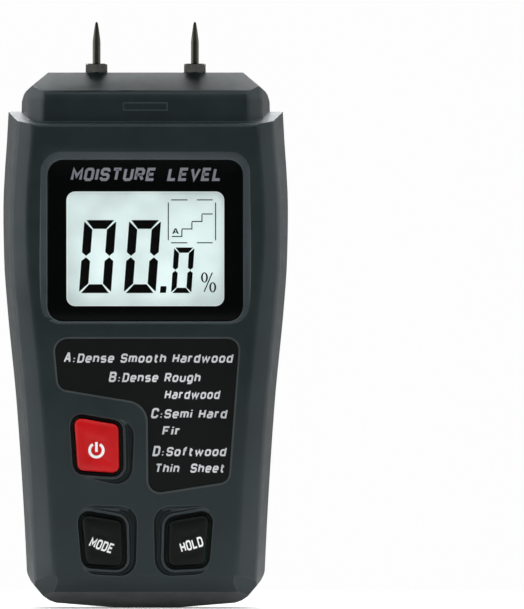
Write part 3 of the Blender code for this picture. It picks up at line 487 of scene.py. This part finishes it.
# Pen strokes of each letter; capitals are six units tall.
GLYPHS = {
    "A": [[(0, 0), (1.9, 6), (2.6, 6), (4.5, 0)], [(0.8, 2.1), (3.7, 2.1)]],
    "B": [[(0, 0), (0, 6), (3.1, 6), (3.9, 5.2), (3.9, 3.9), (3.1, 3.1), (0, 3.1)],
          [(3.1, 3.1), (4, 2.2), (4, 0.8), (3.2, 0), (0, 0)]],
    "C": [[(4, 4.3), (4, 5.2), (3.2, 6), (0.8, 6), (0, 5.2), (0, 0.8), (0.8, 0), (3.2, 0),
           (4, 0.8), (4, 1.7)]],
    "D": [[(0, 0), (3, 0), (4, 1.0), (4, 5.0), (3, 6), (0, 6), (0, 0)]],
    "E": [[(3.9, 6), (0, 6), (0, 0), (3.9, 0)], [(0, 3.05), (3.3, 3.05)]],
    "F": [[(3.9, 6), (0, 6), (0, 0)], [(0, 3.05), (3.2, 3.05)]],
    "H": [[(0, 0), (0, 6)], [(4, 0), (4, 6)], [(0, 3), (4, 3)]],
    "I": [[(0, 0), (0, 6)]],
    "L": [[(0, 6), (0, 0), (3.7, 0)]],
    "M": [[(0, 0), (0, 6), (2.5, 2.0), (5, 6), (5, 0)]],
    "O": [box_letter(4, 6)],
    "R": [[(0, 0), (0, 6), (3.2, 6), (4, 5.2), (4, 3.6), (3.2, 2.8), (0, 2.8)],
          [(2.3, 2.8), (4.1, 0)]],
    "S": [[(4, 4.6), (4, 5.2), (3.2, 6), (0.8, 6), (0, 5.2), (0, 3.8), (0.8, 3), (3.2, 3),
           (4, 2.2), (4, 0.8), (3.2, 0), (0.8, 0), (0, 0.8), (0, 1.4)]],
    "T": [[(0, 6), (4.4, 6)], [(2.2, 6), (2.2, 0)]],
    "U": [[(0, 6), (0, 0.8), (0.8, 0), (3.2, 0), (4, 0.8), (4, 6)]],
    "V": [[(0, 6), (2.1, 0), (4.2, 6)]],
    "a": [[(0.4, 4.3), (2.8, 4.3), (3.6, 3.5), (3.6, 0)],
          [(3.6, 2.5), (0.8, 2.5), (0, 1.8), (0, 0.7), (0.7, 0), (3.6, 0)]],
    "d": [[(3.6, 6), (3.6, 0), (0.8, 0), (0, 0.8), (0, 3.5), (0.8, 4.3), (3.6, 4.3)]],
    "e": [[(0.2, 2.1), (3.6, 2.1), (3.6, 3.5), (2.8, 4.3), (0.8, 4.3), (0, 3.5), (0, 0.8),
           (0.8, 0), (3.4, 0)]],
    "f": [[(2.6, 6), (1.7, 6), (0.9, 5.2), (0.9, 0)], [(0, 4.1), (2.4, 4.1)]],
    "g": [[(3.6, 4.3), (0.8, 4.3), (0, 3.5), (0, 0.8), (0.8, 0), (3.6, 0)],
          [(3.6, 4.3), (3.6, -1.0), (2.8, -1.7), (0.3, -1.7)]],
    "h": [[(0, 0), (0, 6)], [(0, 4.3), (2.8, 4.3), (3.6, 3.5), (3.6, 0)]],
    "i": [[(0, 0), (0, 4.3)], [(0, 5.3), (0, 6.2)]],
    "m": [[(0, 0), (0, 4.3), (4.8, 4.3), (5.6, 3.5), (5.6, 0)], [(2.8, 4.3), (2.8, 0)]],
    "n": [[(0, 0), (0, 4.3), (2.8, 4.3), (3.6, 3.5), (3.6, 0)]],
    "o": [box_letter(3.6, 4.3, 0.8)],
    "r": [[(0, 0), (0, 4.3), (2.3, 4.3)]],
    "s": [[(3.4, 4.3), (0.7, 4.3), (0, 3.7), (0, 2.8), (0.6, 2.2), (2.9, 2.2), (3.5, 1.6),
           (3.5, 0.6), (2.9, 0), (0.1, 0)]],
    "t": [[(0.9, 5.8), (0.9, 0.8), (1.7, 0), (2.6, 0)], [(0, 4.2), (2.5, 4.2)]],
    "u": [[(0, 4.3), (0, 0.8), (0.8, 0), (3.6, 0)], [(3.6, 0), (3.6, 4.3)]],
    "w": [[(0, 4.3), (1.3, 0), (2.9, 3.9), (4.5, 0), (5.8, 4.3)]],
    ":": [[(0, 0.2), (0, 1.1)], [(0, 2.7), (0, 3.6)]],
    " ": [],
}
CAP_UNITS = 6
SPACE_UNITS = 1.6


def ribbon(bm, points, thick):
    """One pen stroke with mitred corners, as a closed plate."""
    closed = points[0] == points[-1]
    line = [Vector(p) for p in (points[:-1] if closed else points)]
    count = len(line)
    left, right = [], []
    for i, p in enumerate(line):
        before = line[i - 1] if closed or i > 0 else None
        after = line[(i + 1) % count] if closed or i < count - 1 else None
        into = (p - before).normalized() if before is not None else (after - p).normalized()
        out = (after - p).normalized() if after is not None else into
        na, nb = Vector((-into.y, into.x)), Vector((-out.y, out.x))
        shift = (na + nb) * (thick / 2 / max(0.35, 1 + na.dot(nb)))
        left.append(p + shift)
        right.append(p - shift)
    pairs = list(range(count - 1)) + ([count - 1] if closed else [])
    stacks = [[bm.verts.new((v.x, v.y, w)) for v in side] for side, w in
              ((left, 0.5), (right, 0.5), (right, -0.5), (left, -0.5))]
    for i in pairs:
        j = (i + 1) % count
        for a, b in zip(stacks, stacks[1:] + stacks[:1]):
            bm.faces.new((a[i], a[j], b[j], b[i]))
    if not closed:
        bm.faces.new([s[0] for s in stacks])
        bm.faces.new([s[-1] for s in reversed(stacks)])


def glyphs(text, thick, spacing):
    """A word in plain squared strokes, in glyph units."""
    bm = bmesh.new()
    pen = 0.0
    for letter in text:
        start = len(bm.verts)
        strokes = GLYPHS[letter]
        for stroke in strokes:
            ribbon(bm, stroke, thick)
        bm.verts.ensure_lookup_table()
        for v in bm.verts[start:]:
            v.co.x += pen
        wide = max((p[0] for stroke in strokes for p in stroke), default=SPACE_UNITS)
        pen += wide + thick + spacing
    return bm


def lettering(name, text, x0, x1, base, height, look, body, surface, shear=0.0, thick=1.15,
              turn=0.0, proud=0.03, spacing=0.75, deep=0.01):
    """Raised print: fitted to a width and a cap height, leaned, turned and laid on a surface."""
    bm = glyphs(text, thick, spacing)
    low = min(v.co.x for v in bm.verts)
    high = max(v.co.x for v in bm.verts)
    middle_x, middle_z = (x0 + x1) / 2, base + height / 2
    c, s = math.cos(turn), math.sin(turn)
    for v in bm.verts:
        z = (v.co.y + thick / 2) / (CAP_UNITS + thick) * height - height / 2
        x = (v.co.x - low) / (high - low) * (x1 - x0) - (x1 - x0) / 2 + shear * z
        px, pz = middle_x + c * x - s * z, middle_z + s * x + c * z
        lift = proud if v.co.z > 0 else -deep
        v.co = Vector((px, surface(px, pz) - lift, pz))
    piece(name, bm, look, body, 40)


def percent_sign(look, y):
    """Percent sign: two upright ovals, thick at their sides, and a thin slanted bar."""
    bm = bmesh.new()
    angles = [2 * math.pi * k / 24 for k in range(24)]
    for cx, cz in ((14.97, 84.0), (17.07, 81.5)):
        outer = [(cx + 0.88 * math.cos(a), cz + 1.3 * math.sin(a)) for a in angles]
        inner = [(cx + 0.42 * math.cos(a), cz + 1.08 * math.sin(a)) for a in angles]
        add_ring(bm, outer, inner, y, y + INK)
    add_plate(bm, [(14.73, 80.35), (15.05, 80.35), (17.13, 85.25), (16.81, 85.25)], y, y + INK)
    piece("lcd_percent", bm, look, "housing", 30)


# ---------------------------------------------------------------- housing

def in_recess(x, z):
    """Beside or below a key, inside the sunken step round it."""
    return any(a < x < b and c < z < d for a, b, c, d in RECESSES)


def gloss_by_height(mat):
    """The housing's gloss fades towards the floor and is fuller on the slopes of its head: painted shade at
    the foot and a painted highlight on the head's slopes.
    """
    tree = mat.node_tree
    split = add(tree, "ShaderNodeSeparateXYZ")
    tree.links.new(object_place(tree), split.inputs[0])
    foot = ramp(tree, split.outputs["Z"], 0.0004, 0.0040, 0.04, 0.5)
    head = ramp(tree, split.outputs["Z"], 0.1290, 0.1300, 0.0, 0.18)
    gloss = tree.nodes["Principled BSDF"].inputs["Specular IOR Level"]
    tree.links.new(plus(tree, foot, head), gloss)


def dress_housing(looks):
    gloss_by_height(looks["slate"])
    for node in ("front_shell", "rear_shell"):
        soften(node, 0.3)
        dress(node, looks["slate"])
    mesh = nodes["front_shell"].data
    mesh.materials.append(looks["bezel"])
    mesh.materials.append(looks["recess"])
    half_width, low, high = BEZEL
    for face in mesh.polygons:
        x, y, z = face.center / MM
        sloped = y < WINDOW_Y + 0.05 and face.normal.y > -0.97
        # Sloped faces round the display window take the paler bezel look: painted highlight.
        if abs(x) < half_width and low < z < high and sloped:
            face.material_index = 1
        # Step faces beside and below the keys take the darker recess look: painted shade.
        elif face.normal.y < -0.3 and y > front_y(z) + 0.08 and in_recess(x, z):
            face.material_index = 2
    soften("battery_door", 0.25)
    dress("battery_door", looks["slate"])
    soften("pin_cap", 0.4)
    dress("pin_cap", looks["cap"])
    soften("legend_inlay", 0.08, 2)
    dress("legend_inlay", looks["legend"])


def seam_path():
    """The shells' outline in XZ along their joint: down the right side, round the foot and up the left."""
    tree = tree_of("front_shell")

    def beside_joint(x, z, level):
        return Vector((x * MM, (curve(PARTING, level) - 0.5) * MM, z * MM))

    down, across = 60, 12
    right = []
    for k in range(down):
        z = SEAM_HIGH + (SEAM_LOW - SEAM_HIGH) * k / (down - 1)
        hit = tree.ray_cast(beside_joint(80, z, z), Vector((-1, 0, 0)))[0]
        right.append((hit.x / MM, z))
    for k in range(1, across + 1):
        x = right[down - 1][0] * (1 - k / across) if k < across else 0.0
        hit = tree.ray_cast(beside_joint(x, -20, right[-1][1]), Vector((0, 0, 1)))[0]
        right.append((x, hit.z / MM))
    return right + [(-x, z) for x, z in reversed(right[:-1])]


def seam_strip(looks):
    """Dark strip in the joint between the two shells, a quarter of a millimetre below their surface."""
    path = seam_path()
    half, shallow, deep = 0.14, 0.25, 1.5
    rings = []
    for i, p in enumerate(path):
        along = (Vector(path[min(i + 1, len(path) - 1)]) - Vector(path[max(i - 1, 0)])).normalized()
        inward = Vector((along.y, -along.x))
        mid = curve(PARTING, p[1])
        outer, inner = Vector(p) + inward * shallow, Vector(p) + inward * deep
        rings.append([(q.x, mid + side, q.y) for q, side in
                      ((outer, -half), (outer, half), (inner, half), (inner, -half))])
    piece("seam_strip", loft(rings), looks["seal"], "housing", 40)


def subdivided(loop, parts=6):
    """More points along each side of a loop, so that it can follow a curved surface."""
    result = []
    for a, b in zip(loop, loop[1:] + loop[:1]):
        for k in range(parts):
            result.append((a[0] + (b[0] - a[0]) * k / parts, a[1] + (b[1] - a[1]) * k / parts))
    return result


def legend_line(looks):
    """Fine raised edge round the legend panel; it closes the joint between panel and shell, and its pale
    colour is a painted highlight on the edge.
    """
    edge = rounded(LEGEND)
    bm = bmesh.new()
    add_ring(bm, subdivided(inset_loop(edge, -0.33)), subdivided(inset_loop(edge, -0.02)), -1.0, 1.0)
    for v in bm.verts:
        v.co.y = front_y(v.co.z) + (-0.03 if v.co.y < 0 else 0.2)
    piece("legend_edge_line", bm, looks["line"], "housing", 40)


# ---------------------------------------------------------------- display

def window(looks):
    """Acrylic window: black border printed round a clear field, with a softened rim."""
    low, high = (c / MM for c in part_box("display_window"))
    front = low.y
    outer = rounded([(low.x, low.z), (high.x, low.z), (high.x, high.z), (low.x, high.z)], 3.6)
    view = rectangle(*LCD_VIEW)
    rings = []
    for shrink, y in ((0.0, high.y), (0.0, front + 0.22), (0.06, front + 0.08), (0.2, front)):
        rings.append([(x, y, z) for x, z in inset_loop(outer, shrink)])
    rings.append([(x, front, z) for x, z in view])
    rings.append([(x, high.y, z) for x, z in view])
    bm = loft(rings + [rings[0]], ends=False)
    piece("display_window_border", bm, looks["gloss"], "housing", 35,
          ("display_window",))
    pane = bmesh.new()
    add_plate(pane, inset_loop(view, 0.01), front, high.y)
    piece("display_window_pane", pane, looks["pane"], "housing", 35)


def digit(bm, x0, x1, z0, z1, w, y, lean):
    """A seven-segment nought: mitred corners, pointed waists, hairline gaps between segments."""
    gap = 0.085 * w
    cut = 0.16 * w
    mid = (z0 + z1) / 2
    flat = [
        (x0 + cut + gap, z1), (x0 + w + gap, z1 - w), (x1 - w - gap, z1 - w), (x1 - cut - gap, z1),
    ]
    upright = [
        (x0, z1 - cut - gap), (x0 + cut * 0.35, z1 - cut * 0.65 - gap), (x0 + w, z1 - w - gap),
        (x0 + w, mid + 0.42 * w + gap), (x0 + w / 2, mid + gap), (x0, mid + 0.42 * w + gap),
    ]
    for sx, sz in ((1, 1), (1, -1), (-1, 1), (-1, -1)):
        shapes = [upright] + ([flat] if sx == 1 else [])
        for shape in shapes:
            line = [(x if sx == 1 else x0 + x1 - x, z if sz == 1 else 2 * mid - z) for x, z in shape]
            add_plate(bm, [(x + lean * (z - mid), z) for x, z in line], y, y + INK)


def bar(bm, x0, x1, z0, z1, y):
    add_plate(bm, [(x0, z0), (x1, z0), (x1, z1), (x0, z1)], y, y + INK)


# Left, right, bottom, top, stroke width and lean of the display's three digits.
DIGITS = (
    (-16.17, -8.05, 80.05, 98.55, 2.22, 0.075),
    (-4.79, 3.29, 80.05, 98.55, 2.22, 0.075),
    (6.9, 12.05, 80.05, 91.6, 1.34, 0.07),
)
DECIMAL_POINT = ((3.66, 80.1), (5.2, 80.1), (5.4, 81.8), (3.86, 81.8))


def display(looks):
    """Pale cell with a paler rim, both glowing with painted light, and everything that it shows."""
    dress("lcd_cell", looks["lcd"])
    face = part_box("lcd_cell")[0].y / MM
    y = face - 0.05
    bm = bmesh.new()
    for x0, x1, z0, z1, width, lean in DIGITS:
        digit(bm, x0, x1, z0, z1, width, y, lean)
    add_plate(bm, DECIMAL_POINT, y, y + INK)
    piece("lcd_digits", bm, looks["ink"], "housing", 30)
    view = rectangle(*LCD_VIEW)
    rim = bmesh.new()
    add_ring(rim, inset_loop(view, 0.02), inset_loop(view, 0.24), y, y + INK)
    piece("lcd_rim", rim, looks["lcd_rim"], "housing", 30)
    percent_sign(looks["ink"], y)
    lettering("lcd_group_mark", "A", 6.85, 8.45, 94.95, 1.5, looks["ink"], "housing",
              lambda x, z: face, 0.0, 1.25)
    range_icon(looks, y)


def range_icon(looks, y):
    """A box of dashes round a line that climbs in four steps."""
    bm = bmesh.new()
    thin = 0.13
    for z in (92.8, 103.67):
        bar(bm, 6.52, 10.67, z - thin, z + thin, y)
        bar(bm, 13.07, 17.06, z - thin, z + thin, y)
    for x in (5.81, 17.8):
        bar(bm, x - thin, x + thin, 93.45, 102.99, y)
    tread, rise = 2.55, 1.9
    for k in range(4):
        x, z = 6.7 + tread * k, 94.4 + rise * k
        bar(bm, x, x + tread + thin, z - thin, z + thin, y)
        if k < 3:
            bar(bm, x + tread - thin, x + tread + thin, z + thin, z + rise - thin, y)
    piece("lcd_range_icon", bm, looks["ink"], "housing", 30)


# The words over the display: piece, text, left and right.
HEADING = (("heading_left", "MOISTURE", -18.7, 2.3), ("heading_right", "LEVEL", 5.8, 19.1))
# The list of wood groups: group letter, its left, the row's text, its left, its right and its base.
LEGEND_ROWS = (
    ("A", -20.5, "Dense Smooth Hardwood", -17.1, 22.2, 62.4),
    ("B", -9.1, "Dense Rough", -5.7, 14.0, 57.5),
    ("", 0, "Hardwood", 5.0, 18.9, 53.2),
    ("C", 1.6, "Semi Hard", 4.9, 20.7, 48.3),
    ("", 0, "Fir", 4.4, 8.6, 44.0),
    ("D", 2.0, "Softwood", 5.4, 20.5, 38.7),
    ("", 0, "Thin  Sheet", 2.7, 19.9, 34.5),
)
ITALIC = 0.2


def printed_words(looks):
    """Generic wording: a heading over the display and a list of wood groups on the legend panel."""
    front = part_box("display_window")[0].y / MM
    for name, text, x0, x1 in HEADING:
        lettering(name, text, x0, x1, 108.45, 3.36, looks["heading"], "housing",
                  lambda x, z: front, ITALIC, 1.6, spacing=1.1)
    find = surface_of("legend_inlay")

    def drape(x, z):
        top = find(x, z)
        return front_y(z) + 0.08 if top is None else top

    for k, (mark, xm, text, x0, x1, base) in enumerate(LEGEND_ROWS):
        lettering(f"legend_row_{k + 1}", text, x0, x1, base, 2.3, looks["print"], "housing",
                  drape, ITALIC, 1.45, spacing=1.35)
        if mark:
            lettering(f"legend_mark_{mark}", mark, xm, xm + 1.75, base, 2.6, looks["print"], "housing",
                      drape, ITALIC, 1.5)
            lettering(f"legend_colon_{mark}", ":", xm + 2.32, xm + 2.68, base, 2.1, looks["print"],
                      "housing", drape, ITALIC, 0.9)


# ---------------------------------------------------------------- keys

# Side of a key from its skirt to the rim of its face: distance inwards and height over the front.
KEY_SIDE = ((0.0, -2.4), (0.0, 0.55), (0.07, 0.85), (0.25, 1.12), (0.55, 1.32), (0.95, 1.46))


def key_relief(level):
    """Bumps and dishes across a key's face, by the distance up the face from its middle."""
    relief = 0.0
    for at, width, height in ((2.6, 0.6, 0.06), (1.2, 1.2, -0.24), (-3.2, 1.0, -0.2)):
        relief += math.exp(-((level - at) / width) ** 2) * height
    return relief


def key_piece(name, corners, look, body, node):
    """Key top: rounded skirt, soft shoulder and shallow slanting dishes across the face."""
    cx = sum(x for x, _ in corners) / 4
    cz = sum(z for _, z in corners) / 4
    outline = rounded(corners, KEY_CORNER)
    rings = []
    for shrink, lift in KEY_SIDE:
        rings.append([(x, front_y(z) - lift, z) for x, z in inset_loop(outline, shrink)])
    slant = math.copysign(0.28, -cx)
    rim_inset, rim_lift = KEY_SIDE[-1]
    base = inset_loop(outline, rim_inset)
    for k in range(1, 10):
        shrink = k / 10
        fade = min(1.0, shrink * 3)
        ring = []
        for x, z in base:
            px, pz = x + (cx - x) * shrink, z + (cz - z) * shrink
            lift = rim_lift + 0.12 * math.sin(fade * math.pi / 2)
            lift += key_relief((pz - cz) - slant * (cx - px)) * fade
            ring.append((px, front_y(pz) - min(lift, KEY_RISE + 0.02), pz))
        rings.append(ring)
    piece(name, loft(rings), look, body, 60, (node,))


def power_mark(looks):
    """White ring with a gap at the top and a short bar."""
    cx, cz, radius, thick = -12.4, 40.2, 1.72, 0.7
    half_gap, steps = 31, 40
    bm = bmesh.new()
    arc = []
    for k in range(steps + 1):
        angle = math.radians(90 + half_gap + (360 - 2 * half_gap) * k / steps)
        arc.append((cx + radius * math.cos(angle), cz + radius * math.sin(angle)))
    ribbon(bm, arc, thick)
    ribbon(bm, [(cx, cz - 0.4), (cx, cz + radius + thick / 2)], 0.66)
    for v in bm.verts:
        x, z, side = v.co
        v.co = Vector((x, key_plane(x, z) + (-0.03 if side > 0 else 0.35), z))
    piece("power_mark", bm, looks["key_print"], "power_button", 40)


def key_plane(x, z):
    """The level of a key's highest points."""
    return front_y(z) - KEY_RISE + 0.02


def key_word(name, text, centre, turn, shear, look, body):
    """A word printed across a key; its strokes reach down into the dished face."""
    x, z = centre
    lettering(name, text, x - 2.95, x + 2.95, z - 1.3, 2.6, look, body, key_plane, shear, 1.45,
              math.radians(turn), 0.03, 0.95, 0.35)


def seal(name, corners, look):
    """Black rubber ring on the ledge at the bottom of a key's moat; its black is the rubber's own and also
    serves as painted shade in the moat.
    """
    outline = rounded(corners, KEY_CORNER)
    bm = bmesh.new()
    add_ring(bm, inset_loop(outline, -1.0), inset_loop(outline, -0.45), 1.0, 1.3)
    for v in bm.verts:
        v.co.y += front_y(v.co.z)
    piece(name, bm, look, "housing", 40)


def keys(looks):
    black, white = looks["black_key"], looks["key_print"]
    key_piece("power_key_top", POWER_KEY, looks["red"], "power_button", "power_key")
    power_mark(looks)
    key_piece("mode_key_top", MODE_KEY, black, "mode_button", "mode_key")
    key_word("mode_word", "MODE", (-11.15, 16.1), -18, 0.1, white, "mode_button")
    key_piece("hold_key_top", HOLD_KEY, black, "hold_button", "hold_key")
    key_word("hold_word", "HOLD", (11.7, 16.3), 17, 0.03, white, "hold_button")
    for name, corners in (("power_seal", POWER_KEY), ("mode_seal", MODE_KEY), ("hold_seal", HOLD_KEY)):
        seal(name, corners, looks["seal"])


# ---------------------------------------------------------------- pins and nuts

def turned(profile, cx, cy, sides=32):
    """Solid of revolution about an upright axis, from (radius, z) pairs."""
    rings = []
    for radius, z in profile:
        angles = [2 * math.pi * k / sides for k in range(sides)]
        rings.append([(cx + radius * math.cos(a), cy + radius * math.sin(a), z) for a in angles])
    return loft(rings)


# A pin from its shank to just below its tip: radius and z.
PIN_TAPER = (
    (1.0, 138.3), (1.0, 143.6), (0.98, 144.1), (0.92, 144.7), (0.62, 147.0), (0.36, 148.55), (0.24, 148.85),
)


def pins(looks):
    """Two steel needles with ground tips, each standing in its nut."""
    for side in ("left", "right"):
        low, high = (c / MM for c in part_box("pin_" + side))
        cx, cy = (low.x + high.x) / 2, (low.y + high.y) / 2
        profile = [(0.93, low.z), (1.0, low.z + 0.1), *PIN_TAPER, (0.1, high.z)]
        piece("pin_needle_" + side, turned(profile, cx, cy), looks["steel"], "housing", 40,
              ("pin_" + side,))
        nut(side, looks)


def nut(side, looks):
    """Hexagon nut, one corner forward, with turned corners and an open bore."""
    low, high = (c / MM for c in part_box("pin_nut_" + side))
    cx, cy = (low.x + high.x) / 2, (low.y + high.y) / 2
    corner = (high.y - low.y) / 2
    foot = low.z - 0.24
    bore, sides = 1.32, 48

    def hexagon(share, z):
        """Ring along the flats, cut off at a share of the corner's reach."""
        points = []
        for k in range(sides):
            a = 2 * math.pi * k / sides
            local = (a + math.pi / 6) % (math.pi / 3) - math.pi / 6
            flat = corner * math.cos(math.pi / 6) / math.cos(math.pi / 6 - abs(local))
            r = min(flat, corner * share)
            points.append((cx + r * math.sin(a), cy - r * math.cos(a), z))
        return points

    def circle(r, z):
        angles = [2 * math.pi * k / sides for k in range(sides)]
        return [(cx + r * math.sin(a), cy - r * math.cos(a), z) for a in angles]

    rings = [
        hexagon(0.95, foot), hexagon(1.0, foot + 0.12), hexagon(1.0, high.z - 0.42),
        hexagon(0.955, high.z - 0.2), hexagon(0.86, high.z),
        circle(bore + 0.15, high.z), circle(bore, high.z - 0.15), circle(bore, foot),
    ]
    bm = loft(rings + [rings[0]], ends=False)
    piece("nut_" + side, bm, looks["nickel"], "housing", 25, ("pin_nut_" + side,))


# ---------------------------------------------------------------- the rest

def dress_inside(looks):
    """Looks of everything behind the shells, and of the label and screws on the back."""
    table = {
        "black": ("lcd_frame", "battery_snap", "mcu_chip", "black_lead", "power_switch", "mode_switch",
                  "hold_switch"),
        "diffuser": ("lcd_backlight",),
        "rubber": ("zebra_strip",),
        "red_plastic": ("red_lead", "power_plunger", "mode_plunger", "hold_plunger"),
        "board": ("main_board",),
        "aluminium": ("board_capacitor",),
        "wrap": ("battery_case",),
        "nickel": ("battery_stud", "battery_socket"),
        "brass": ("pin_socket_left", "pin_socket_right"),
        "white": ("pin_wire_left", "pin_wire_right"),
        "label": ("rear_label",),
        "zinc": tuple(n for n in nodes if "screw" in n),
    }
    for look, names in table.items():
        for name in names:
            dress(name, looks[look])
    for name in ("battery_case", "battery_snap", "mcu_chip", "rear_label", "lcd_frame"):
        soften(name, 0.15, 2)
    for name in nodes:
        if "screw" in name:
            soften(name, 0.08, 2)


def label_border(looks):
    """A plain ruled border on the blank rear label."""
    find = surface_of("rear_label")
    outer = subdivided(rectangle(9.9, 38.1, 54.9, 0.8, 5))
    inner = inset_loop(outer, 0.25)
    bm = bmesh.new()
    add_ring(bm, outer, inner, -1.0, 1.0)
    for v in bm.verts:
        top = find(v.co.x, v.co.z, 1) or 14.0
        v.co.y = top + (0.03 if v.co.y > 0 else -0.02)
    piece("rear_label_border", bm, looks["label_line"], "housing", 40)


# ---------------------------------------------------------------- studio

# Studio sizes in metres.
FLOOR_RADIUS = 0.9
FLOOR_FADE = (0.02, 0.32)
LIGHTS_AIM = (0, 0, 0.08)
# The room's least brightness, and the backdrop that the camera sees.
ROOM_GLOW = 0.09
BACKDROP = (0.985, 0.985, 0.985, 1.0)


def floor(z):
    """Pale disc that fades into the background away from the meter."""
    bm = bmesh.new()
    bmesh.ops.create_circle(bm, cap_ends=True, radius=FLOOR_RADIUS, segments=96)
    mesh = bpy.data.meshes.new("floor")
    bm.to_mesh(mesh)
    bm.free()
    obj = bpy.data.objects.new("floor", mesh)
    obj.location.z = z
    bpy.context.scene.collection.objects.link(obj)
    mat, tree, shader = new_material("floor_pale")
    shader.inputs["Base Color"].default_value = (0.93, 0.93, 0.93, 1.0)
    shader.inputs["Roughness"].default_value = 0.8
    shader.inputs["Specular IOR Level"].default_value = 0.1
    length = add(tree, "ShaderNodeVectorMath", "LENGTH")
    tree.links.new(object_place(tree), length.inputs[0])
    fade = ramp(tree, length.outputs["Value"], *FLOOR_FADE, 0.7, 0.0)
    fade.node.interpolation_type = "SMOOTHSTEP"
    tree.links.new(fade, shader.inputs["Alpha"])
    mesh.materials.append(mat)


def studio_world():
    """Even pale room, brighter at the sides, above, below and behind the meter than in front of it."""
    world = bpy.data.worlds.new("studio")
    bpy.context.scene.world = world
    world.use_nodes = True
    tree = world.node_tree
    back = tree.nodes["Background"]
    place = add(tree, "ShaderNodeTexCoord")
    split = add(tree, "ShaderNodeSeparateXYZ")
    tree.links.new(place.outputs["Generated"], split.inputs[0])

    sideways = add(tree, "ShaderNodeMath", "ABSOLUTE")
    tree.links.new(split.outputs["X"], sideways.inputs[0])
    sides = ramp(tree, sideways.outputs[0], 0.45, 0.98, 0.0, 0.35)
    above = ramp(tree, split.outputs["Z"], 0.2, 0.95, 0.0, 0.8)
    behind = ramp(tree, split.outputs["Y"], -0.6, 0.5, 0.0, 0.35)
    below = ramp(tree, split.outputs["Z"], -0.05, -0.6, 0.0, 0.45)
    total = plus(tree, plus(tree, plus(tree, sides, above), behind), below)
    tree.links.new(plus(tree, total, ROOM_GLOW), back.inputs["Strength"])
    back.inputs["Color"].default_value = (1.0, 1.0, 1.0, 1.0)
    plain = add(tree, "ShaderNodeBackground")
    plain.inputs["Color"].default_value = BACKDROP
    path = add(tree, "ShaderNodeLightPath")
    mix = add(tree, "ShaderNodeMixShader")
    tree.links.new(path.outputs["Is Camera Ray"], mix.inputs[0])
    tree.links.new(back.outputs[0], mix.inputs[1])
    tree.links.new(plain.outputs[0], mix.inputs[2])
    tree.links.new(mix.outputs[0], tree.nodes["World Output"].inputs["Surface"])


def area_light(name, place, size, power, glossy):
    """A softbox aimed at the meter, for either the diffuse or the glossy part of a surface."""
    data = bpy.data.lights.new(name, "AREA")
    data.shape = "RECTANGLE"
    data.size, data.size_y = size
    data.energy = power
    obj = bpy.data.objects.new(name, data)
    obj.location = place
    obj.rotation_euler = (Vector(LIGHTS_AIM) - Vector(place)).to_track_quat("-Z", "Y").to_euler()
    obj.visible_glossy = glossy
    obj.visible_diffuse = not glossy
    bpy.context.scene.collection.objects.link(obj)


# Softboxes: name, place and size in metres, watts, and whether it makes sheen rather than light.
SOFTBOXES = (
    ("front_fill", (0.35, -1.6, 0.5), (0.8, 0.8), 8.5, False),
    ("top_fill", (0.0, 0.1, 1.3), (0.9, 0.9), 16.0, False),
    ("top_sheen", (0.0, 0.75, 1.15), (1.6, 1.0), 50.0, True),
    ("back_sheen", (0.0, 1.8, 0.25), (0.8, 0.5), 1.5, True),
    ("left_sheen", (-1.3, 0.1, 0.2), (1.2, 1.2), 5.0, True),
    ("right_sheen", (1.3, 0.1, 0.2), (1.2, 1.2), 1.5, True),
)
# The camera's distance and the height and middle of what it frames, in metres.
CAMERA_DISTANCE = 4.5
FRAME_HEIGHT = 0.15456
FRAME_MIDDLE = (0.02957, -0.010, 0.07715)


def camera():
    """Straight-on long lens; the meter stands left of the middle of the frame."""
    data = bpy.data.cameras.new("camera")
    data.sensor_width = 36.0
    data.lens = data.sensor_width * CAMERA_DISTANCE / FRAME_HEIGHT
    data.clip_end = 60.0
    obj = bpy.data.objects.new("camera", data)
    obj.location = Vector(FRAME_MIDDLE) - Vector((0, CAMERA_DISTANCE, 0))
    obj.rotation_euler = (math.radians(90), 0, 0)
    bpy.context.scene.collection.objects.link(obj)
    bpy.context.scene.camera = obj


def build():
    bpy.context.scene.view_settings.view_transform = "Standard"
    looks = make_looks()
    dress_housing(looks)
    seam_strip(looks)
    legend_line(looks)
    window(looks)
    display(looks)
    printed_words(looks)
    keys(looks)
    pins(looks)
    dress_inside(looks)
    label_border(looks)
    floor(cad_box[0][2])
    studio_world()
    for softbox in SOFTBOXES:
        area_light(*softbox)
    camera()


build()
